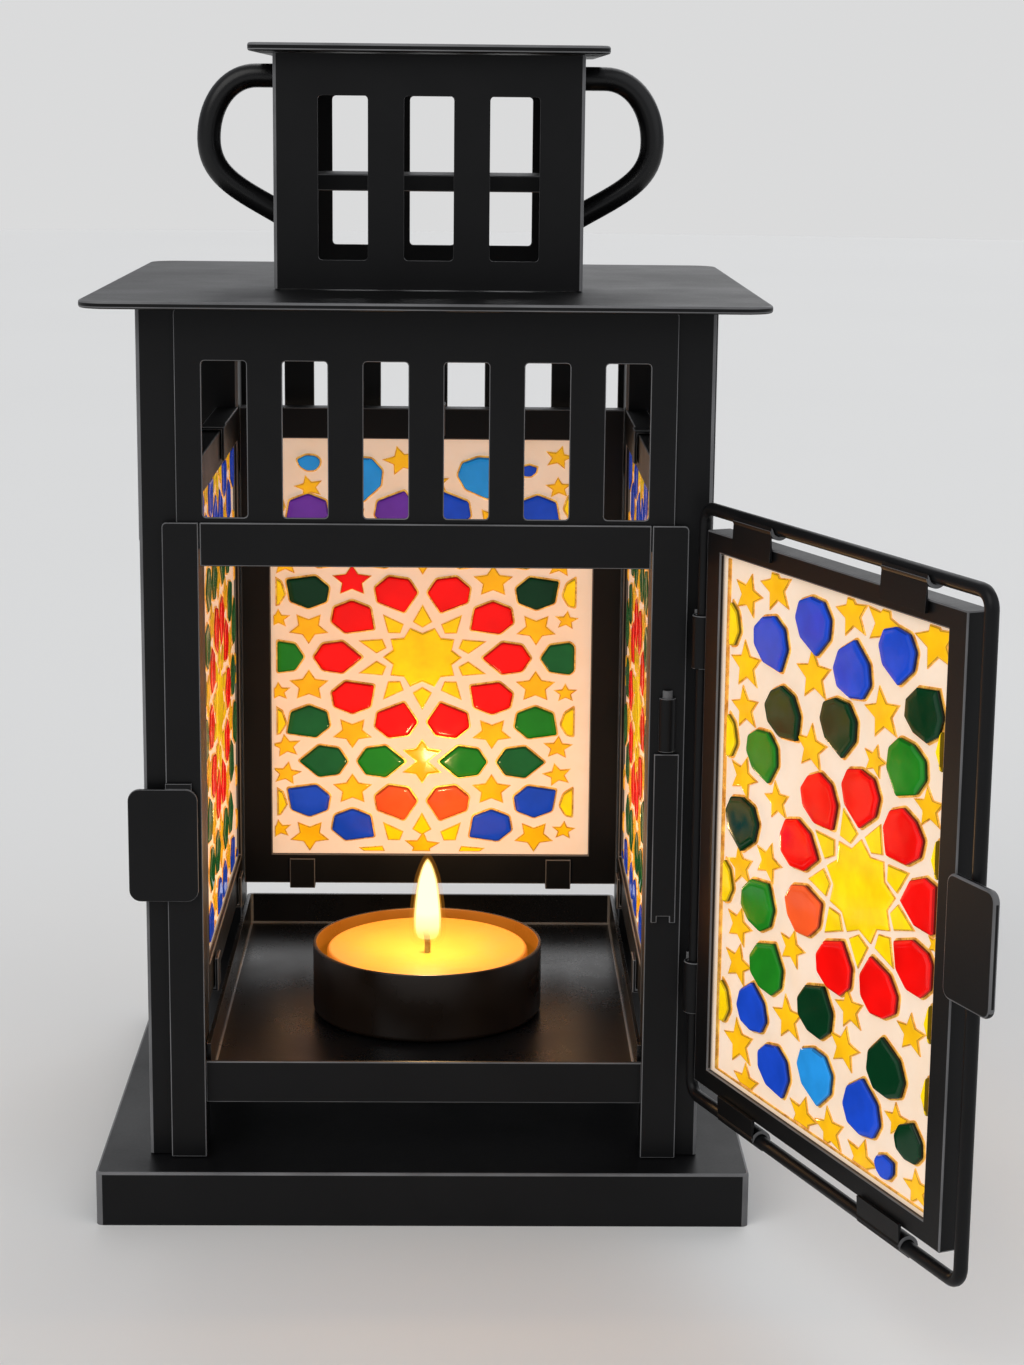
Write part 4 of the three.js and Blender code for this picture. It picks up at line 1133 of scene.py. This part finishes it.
def build_fixed_panels(scene):
    back = {
        "area": (-44.4, 41.4, -58.9, 58.9),
        "tile": (15.1, 12.1),
        "centre": (-2.5, -2.3),
        "choices": BACK_CHOICES,
        "left_out": [("gem", x, y) for x, y in BACK_LEFT_OUT],
        "stars": BACK_STARS,
        "gems": BACK_GEMS,
        "highest": 3.6,
        "relief": 0.85,
    }
    beside = {
        "area": (-49.6, 49.6, -58.8, 58.8),
        "tile": (15.1, 14.5),
        "centre": (0, -4.6),
        "choices": {},
        "left_out": [],
        "stars": [],
        "gems": [],
        "highest": 9,
        "relief": 0.32,
    }
    shared = {"slab": (103.8, 133.6, 1.5, 2.7), "grid": regular_cells, "strips": []}
    for side, turn, own in [("back", 0, back), ("left", 90, beside), ("right", -90, beside)]:

        def place(piece, turn=turn):
            placed(piece, 0, (0, PANEL_PLANE, PANEL_MIDDLE))
            return placed(piece, turn)

        build_mosaic(side, {**shared, **own}, place, "lantern", scene)
        node, name = side + "_frame", side + "_casing"
        if side == "back":
            folded(node, name, 0.3, 2)
        else:
            steel(place(side_casing(name)), node)
        for clip in ["lower_a", "lower_b", "upper"]:
            node = side + "_clip_" + clip
            folded(node, node + "_sheet", 0.25)


def dress_frame_nodes():
    """Frame nodes whose own shape shows: the panes of clear glass and the closing plate."""
    for node in ["back_glass", "left_glass", "right_glass", "door_glass"]:
        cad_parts[node].data.materials[0] = finished("clear pane")
    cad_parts["plinth_base_plate"].data.materials[0] = finished("black coat")


# Door


def rod_clip(name, x, rod_z, way, width, tab, roll):
    """A tab that is rolled over the rod by an angle, made of one strip drawn round by spin."""
    radius = 2.15
    low, high = sorted((rod_z, rod_z - way * tab))
    clip = upright_plane(name, x, -radius, width, low, high)
    pick_edges(clip, lambda middle, direction: abs(middle.z - rod_z) < NEAR)
    bpy.ops.mesh.spin(
        steps=18, angle=math.radians(roll) * way, center=(0, 0, rod_z * MM), axis=(-1, 0, 0)
    )
    done()
    modified(clip, "SOLIDIFY", thickness=0.8 * MM, offset=0)
    edit(clip)
    face_out()
    ease(clip, 0.25, 2, 40)
    return clip


def build_door(scene):
    reach, rod_low, rod_high, bend, thickness = 119, 33.2, 175.8, 3.6, 3.0
    rod = upright_plane("door_rod", reach / 2, 0, reach, rod_low, rod_high)
    edit(rod, "VERT")
    bpy.ops.mesh.bevel(offset=bend * MM, segments=8, affect="VERTICES")
    bpy.ops.mesh.select_all(action="SELECT")
    bpy.ops.mesh.delete(type="ONLY_FACE")
    done()
    bpy.ops.object.convert(target="CURVE")
    rod.data.bevel_depth = thickness / 2 * MM
    rod.data.bevel_resolution = 5
    bpy.ops.object.convert(target="MESH")
    steel(hung(bpy.context.object), "door_rod_frame", body="door", edge_highlighted=False)

    folded("door_frame", "door_casing", 0.35, body="door")
    for hand, x in [("a", 26.4), ("b", 90.4)]:
        for end, rod_z, way, width, tab, roll in [
            ("upper_", rod_high, 1, 17.5, 7.4, 180),
            ("lower_", rod_low, -1, 17, 5.4, 262),
        ]:
            node = "door_clip_" + end + hand
            steel(hung(rod_clip(node + "_sheet", x, rod_z, way, width, tab, roll)), node, body="door")

    pull = box("door_pull", (112.5, -3.3, 93), (129.5, -1.8, 119))
    round_edges(pull, 2.4, 8, crosswise)
    ease(pull, 0.45)
    steel(hung(pull), "door_pull_plate", body="door")

    pane = {
        "slab": (106.6, 130.8, 1.5, 2.7),
        "area": (-44.7, 47.4, -60.5, 61.4),
        "tile": (16, 12.4),
        "centre": (16.3, -0.2),
        "grid": ninefold_cells,
        "stars": DOOR_STARS,
        "gems": DOOR_GEMS,
        "strips": [(-46.5, -61.3, -45, 61.3), (-45, -61.3, 47.3, -60.7)],
        "relief": 0.85,
    }
    build_mosaic("door", pane, lambda piece: hung(placed(piece, 0, DOOR_PANE)), "door", scene)


# Fittings on the front


def build_fittings():
    for node, name, width, steps in [
        ("hinge_knuckle_upper", "hinge_knuckle_upper_barrel", 0.2, 2),
        ("hinge_knuckle_lower", "hinge_knuckle_lower_barrel", 0.2, 2),
        ("keeper_plate", "keeper_sheet", 0.25, 3),
        ("stop_strip", "stop_bar", 0.25, 3),
        ("stop_sleeve", "stop_pin", 0.25, 2),
    ]:
        folded(node, name, width, steps)


# Candle


def build_candle():
    low, high = span("candle_cup")
    centre = x, y = (low.x + high.x) / 2, (low.y + high.y) / 2
    radius = (high.x - low.x) / 2
    cup = raised("cup_shell", centre, [(radius, low.z), (radius, high.z)], 96)
    round_edges(cup, 1.5, 4, lambda middle, way: middle.z < low.z + NEAR)
    sink(cup, 1, 0.9, high.z - low.z - 0.8)
    round_edges(cup, 0.3, 3, lambda middle, way: middle.z > high.z - NEAR)
    smooth(cup)
    middle = Vector((x, y, 0)) * MM
    floor = low.z * MM

    # Marks the inside wall for its painted candle light.
    def inside(face):
        inward = (middle - face.center).to_2d().normalized().dot(face.normal.to_2d()) > 0.5
        return [float(inward and face.center.z > floor)] * 3

    noted(cup, "cup_inside", inside)
    deliver(cup, "candle", "cup_metal", "cup enamel", "candle_cup")

    low, high = span("candle_wax")
    radius, top = (high.x - low.x) / 2, high.z
    rings = [(radius - 0.4, low.z), (radius, low.z + 0.5), (radius, top - 0.9), (radius - 0.12, top - 0.35)]
    rings += [(radius - 0.5, top), (radius - 1.1, top + 0.05), (radius - 2.2, top - 0.3)]
    rings += [(radius - 5, top - 0.6), (13, top - 1.1), (6, top - 1.8), (1.6, top - 1.7)]
    cake = raised("wax_cake", centre, rings, 96)
    smooth(cake, 60)
    deliver(cake, "candle", "wax", "warm wax", "candle_wax")

    foot = span("candle_wick")[0].z
    knots = [
        ((x, y, foot), (x, y, foot - 1), (x, y, foot + 2)),
        ((x + 0.05, y, 50.2), (x + 0.15, y, 49.2), (x - 0.05, y, 51.4)),
        ((x - 0.75, y, 53.4), (x - 0.25, y, 52.8), (x - 1.0, y, 53.7)),
    ]
    wick = tube("wick_cord", knots, 0.8, 8)
    smooth(wick, 60)
    deliver(wick, "candle", "wick", "charred wick", "candle_wick")

    # The flame's outline as (share of its height, share of its width)
    outline = [(0.0, 0.8), (0.05, 0.95), (0.13, 1.0), (0.25, 0.99), (0.43, 0.91), (0.6, 0.8)]
    outline += [(0.75, 0.65), (0.86, 0.46), (0.93, 0.3), (0.98, 0.13), (1.0, 0.02)]
    for name, widest, foot, tip in [
        ("flame_heart", 3.1, 51.6, 72.2),
        ("flame_body", 3.6, 51.1, 72.8),
        ("flame_halo", 4.0, 50.8, 73.2),
        ("flame_haze", 4.9, 50.4, FLAME_TIP + 0.4),
    ]:
        rings = [(widest * width, foot + (tip - foot) * share) for share, width in outline]
        flame = raised(name, centre, rings, 32, closed_tip=True)
        smooth(flame, 80)
        flame.visible_shadow = False
        deliver(flame, "candle", "wax", name.replace("_", " "))


# Stage


def build_world(scene):
    """Soft light from all round, and the backdrop's own colour where the camera looks."""
    world = bpy.data.worlds.new("studio")
    scene.world = world
    world.use_nodes = True
    nodes, links = world.node_tree.nodes, world.node_tree.links
    nodes.clear()
    path = nodes.new("ShaderNodeLightPath")
    mixed = nodes.new("ShaderNodeMixShader")
    output = nodes.new("ShaderNodeOutputWorld")
    links.new(path.outputs["Is Camera Ray"], mixed.inputs[0])
    for place, colour, strength in [
        (1, (0.93, 0.95, 1.0), scene.lantern_sizes.world_level),
        (2, scene.lantern_colours.backdrop, 1.0),
    ]:
        light = nodes.new("ShaderNodeBackground")
        light.inputs["Color"].default_value = (*colour, 1)
        light.inputs["Strength"].default_value = strength
        links.new(light.outputs[0], mixed.inputs[place])
    links.new(mixed.outputs[0], output.inputs["Surface"])


def build_camera(scene):
    yaw, pitch, roll = (math.radians(a) for a in (1.0986, -12.071, 0.592))
    level = Vector((math.cos(yaw), -math.sin(yaw), 0))
    ahead = Vector((math.sin(yaw) * math.cos(pitch), math.cos(yaw) * math.cos(pitch), math.sin(pitch)))
    up = level.cross(ahead)
    right = math.cos(roll) * level + math.sin(roll) * up
    top = math.cos(roll) * up - math.sin(roll) * level
    lens = bpy.data.cameras.new("camera")
    lens.sensor_width = 36
    lens.lens = 71.84
    lens.clip_start = 0.01
    scene.camera = linked("camera", lens)
    turn = Matrix((right, top, -ahead)).transposed().to_4x4()
    scene.camera.matrix_world = Matrix.Translation((0.0084, -0.69779, 0.26731)) @ turn


def build_stage(scene):
    sizes = scene.lantern_sizes
    bpy.ops.object.select_all(action="DESELECT")
    bpy.ops.mesh.primitive_circle_add(vertices=96, radius=5, fill_type="NGON", location=(0, 0, 0))
    floor = added("floor")
    floor.data.materials.append(finished("studio floor"))
    build_world(scene)
    for name, place, spread, power, tint in [
        ("key", (-0.7, -1.0, 1.0), 50, 1.1, (1.0, 0.98, 0.95)),
        ("fill", (1.0, -0.8, 0.8), 70, 0.55, (0.96, 0.98, 1.0)),
        ("back", (0.4, 1.2, 1.0), 60, 0.7, (1.0, 1.0, 1.0)),
    ]:
        lamp = bpy.data.lights.new(name, "SUN")
        lamp.energy = power * sizes.lamp_level
        lamp.angle = math.radians(spread)
        lamp.color = tint
        holder = linked(name, lamp)
        holder.location = place
        holder.rotation_euler = (-Vector(place)).to_track_quat("-Z", "Y").to_euler()
    glow = bpy.data.lights.new("candle glow", "POINT")
    glow.energy = sizes.candle_level
    glow.color = (1.0, 0.6, 0.26)
    glow.shadow_soft_size = 0.003
    linked("candle glow", glow).location = (0, -0.010, 0.070)
    build_camera(scene)
    scene.view_settings.view_transform = "Standard"


# Add-on


def colour(name, description, value):
    return bpy.props.FloatVectorProperty(
        name=name, description=description, subtype="COLOR", size=3, min=0, max=1, default=value
    )


class LanternSizes(bpy.types.PropertyGroup):
    edge: bpy.props.FloatProperty(
        name="Edge rounding", description="Radius of the folded steel edges", default=0.0008, unit="LENGTH"
    )
    plinth_corner: bpy.props.FloatProperty(
        name="Plinth corner", description="Radius of the plinth's corners", default=0.0016, unit="LENGTH"
    )
    strap_width: bpy.props.FloatProperty(
        name="Strap width", description="Width of the grout between gems", default=0.0022, unit="LENGTH"
    )
    lamp_level: bpy.props.FloatProperty(
        name="Lamp level", description="Share of the lamps' power", default=1.0
    )
    world_level: bpy.props.FloatProperty(
        name="World level", description="Light from the world", default=0.45
    )
    candle_level: bpy.props.FloatProperty(
        name="Candle level", description="Light from the flame", default=0.085, unit="POWER"
    )


class LanternColours(bpy.types.PropertyGroup):
    steel: colour("Steel", "Powder coat on the sheet metal", (0.004, 0.004, 0.0044))
    # The colour of the painted highlight along the steel's edges.
    edge: colour("Edge", "Thin paint along the steel's edges", (0.18, 0.18, 0.185))
    cup: colour("Cup", "Enamel on the candle cup", (0.011, 0.0065, 0.004))
    grout: colour("Grout", "Straps between the gems", (0.86, 0.7, 0.56))
    gold: colour("Gold", "Outlines round the gems", (1.0, 0.56, 0.1))
    red: colour("Red", "Ring of gems next to a rosette's heart", (0.85, 0.004, 0.003))
    orange: colour("Orange", "Warm gems near the flame", (0.88, 0.1, 0.02))
    green: colour("Green", "Second ring of gems", (0.008, 0.1, 0.024))
    leaf: colour("Leaf green", "Lighter green gems", (0.012, 0.19, 0.012))
    pine: colour("Pine green", "Nearly black green gems", (0.002, 0.032, 0.01))
    blue: colour("Blue", "Outer gems", (0.01, 0.06, 0.52))
    sky: colour("Sky blue", "Light blue gems", (0.02, 0.27, 0.7))
    violet: colour("Violet", "Violet gems", (0.12, 0.03, 0.33))
    yellow: colour("Yellow", "Rosette hearts and kites", (0.98, 0.66, 0.005))
    amber: colour("Amber", "Stars", (0.95, 0.5, 0.008))
    wax: colour("Wax", "Candle wax", (0.75, 0.33, 0.045))
    floor: colour("Floor", "Studio floor", (0.8, 0.8, 0.79))
    backdrop: colour("Backdrop", "What stands behind the floor", (0.705, 0.707, 0.71))
    # Strength of the painted candle glow in the panes, the wax and the inside of the cup.
    glow: bpy.props.FloatProperty(
        name="Glow", description="Candle light held in the panes", default=0.42
    )


class LanternPiece:
    bl_options = {"REGISTER", "UNDO"}


class LANTERN_OT_stage(LanternPiece, bpy.types.Operator):
    """Adds the floor, the lamps, the world and the camera"""

    bl_idname = "lantern.stage"
    bl_label = "Stage"

    def execute(self, context):
        build_stage(context.scene)
        return {"FINISHED"}


class LANTERN_OT_plinth(LanternPiece, bpy.types.Operator):
    """Folds the plinth"""

    bl_idname = "lantern.plinth"
    bl_label = "Plinth"

    def execute(self, context):
        build_plinth(context.scene.lantern_sizes)
        return {"FINISHED"}


class LANTERN_OT_posts(LanternPiece, bpy.types.Operator):
    """Stands the four corner tubes"""

    bl_idname = "lantern.posts"
    bl_label = "Posts"

    def execute(self, context):
        build_posts(context.scene.lantern_sizes)
        return {"FINISHED"}


class LANTERN_OT_roof(LanternPiece, bpy.types.Operator):
    """Lays the roof sheet"""

    bl_idname = "lantern.roof"
    bl_label = "Roof"

    def execute(self, context):
        build_roof()
        return {"FINISHED"}


class LANTERN_OT_fascias(LanternPiece, bpy.types.Operator):
    """Cuts the slotted fascias and sets one on each side"""

    bl_idname = "lantern.fascias"
    bl_label = "Fascias"

    def execute(self, context):
        build_fascias()
        return {"FINISHED"}


class LANTERN_OT_portal(LanternPiece, bpy.types.Operator):
    """Frames the doorway with two jambs and a header"""

    bl_idname = "lantern.portal"
    bl_label = "Portal"

    def execute(self, context):
        build_portal()
        return {"FINISHED"}


class LANTERN_OT_tray(LanternPiece, bpy.types.Operator):
    """Adds the candle tray and the rails under it"""

    bl_idname = "lantern.tray"
    bl_label = "Tray and rails"

    def execute(self, context):
        build_tray()
        return {"FINISHED"}


class LANTERN_OT_chimney(LanternPiece, bpy.types.Operator):
    """Builds the chimney with its lid and damper"""

    bl_idname = "lantern.chimney"
    bl_label = "Chimney"

    def execute(self, context):
        build_chimney()
        return {"FINISHED"}


class LANTERN_OT_handles(LanternPiece, bpy.types.Operator):
    """Bends the two ear handles"""

    bl_idname = "lantern.handles"
    bl_label = "Handles"

    def execute(self, context):
        build_handles()
        return {"FINISHED"}


class LANTERN_OT_panels(LanternPiece, bpy.types.Operator):
    """Glazes the back and the two sides"""

    bl_idname = "lantern.panels"
    bl_label = "Fixed panels"

    def execute(self, context):
        build_fixed_panels(context.scene)
        dress_frame_nodes()
        return {"FINISHED"}


class LANTERN_OT_door(LanternPiece, bpy.types.Operator):
    """Builds the door and hangs it on its rod"""

    bl_idname = "lantern.door"
    bl_label = "Door"

    def execute(self, context):
        build_door(context.scene)
        return {"FINISHED"}


class LANTERN_OT_fittings(LanternPiece, bpy.types.Operator):
    """Adds the knuckles, the keeper and the stop"""

    bl_idname = "lantern.fittings"
    bl_label = "Fittings"

    def execute(self, context):
        build_fittings()
        return {"FINISHED"}


class LANTERN_OT_candle(LanternPiece, bpy.types.Operator):
    """Sets the candle with its flame on the tray"""

    bl_idname = "lantern.candle"
    bl_label = "Candle"

    def execute(self, context):
        build_candle()
        return {"FINISHED"}


# In the order in which the pieces are made
OPERATORS = [
    LANTERN_OT_stage,
    LANTERN_OT_plinth,
    LANTERN_OT_posts,
    LANTERN_OT_roof,
    LANTERN_OT_fascias,
    LANTERN_OT_portal,
    LANTERN_OT_tray,
    LANTERN_OT_chimney,
    LANTERN_OT_handles,
    LANTERN_OT_panels,
    LANTERN_OT_door,
    LANTERN_OT_fittings,
    LANTERN_OT_candle,
]


class LANTERN_PT_panel(bpy.types.Panel):
    bl_label = "Mosaic Lantern"
    bl_idname = "LANTERN_PT_panel"
    bl_space_type = "VIEW_3D"
    bl_region_type = "UI"
    bl_category = "Lantern"

    def draw(self, context):
        for operator in OPERATORS:
            self.layout.operator(operator.bl_idname)
        for group in (context.scene.lantern_sizes, context.scene.lantern_colours):
            for key in type(group).__annotations__:
                self.layout.prop(group, key)


CLASSES = [LanternSizes, LanternColours, *OPERATORS, LANTERN_PT_panel]


def register():
    for cls in CLASSES:
        bpy.utils.register_class(cls)
    bpy.types.Scene.lantern_sizes = bpy.props.PointerProperty(type=LanternSizes)
    bpy.types.Scene.lantern_colours = bpy.props.PointerProperty(type=LanternColours)


def unregister():
    del bpy.types.Scene.lantern_sizes
    del bpy.types.Scene.lantern_colours
    for cls in reversed(CLASSES):
        bpy.utils.unregister_class(cls)


def main():
    register()
    bpy.ops.lantern.stage()
    bpy.ops.lantern.plinth()
    bpy.ops.lantern.posts()
    bpy.ops.lantern.roof()
    bpy.ops.lantern.fascias()
    bpy.ops.lantern.portal()
    bpy.ops.lantern.tray()
    bpy.ops.lantern.chimney()
    bpy.ops.lantern.handles()
    bpy.ops.lantern.panels()
    bpy.ops.lantern.door()
    bpy.ops.lantern.fittings()
    bpy.ops.lantern.candle()


if __name__ == "__main__":
    main()
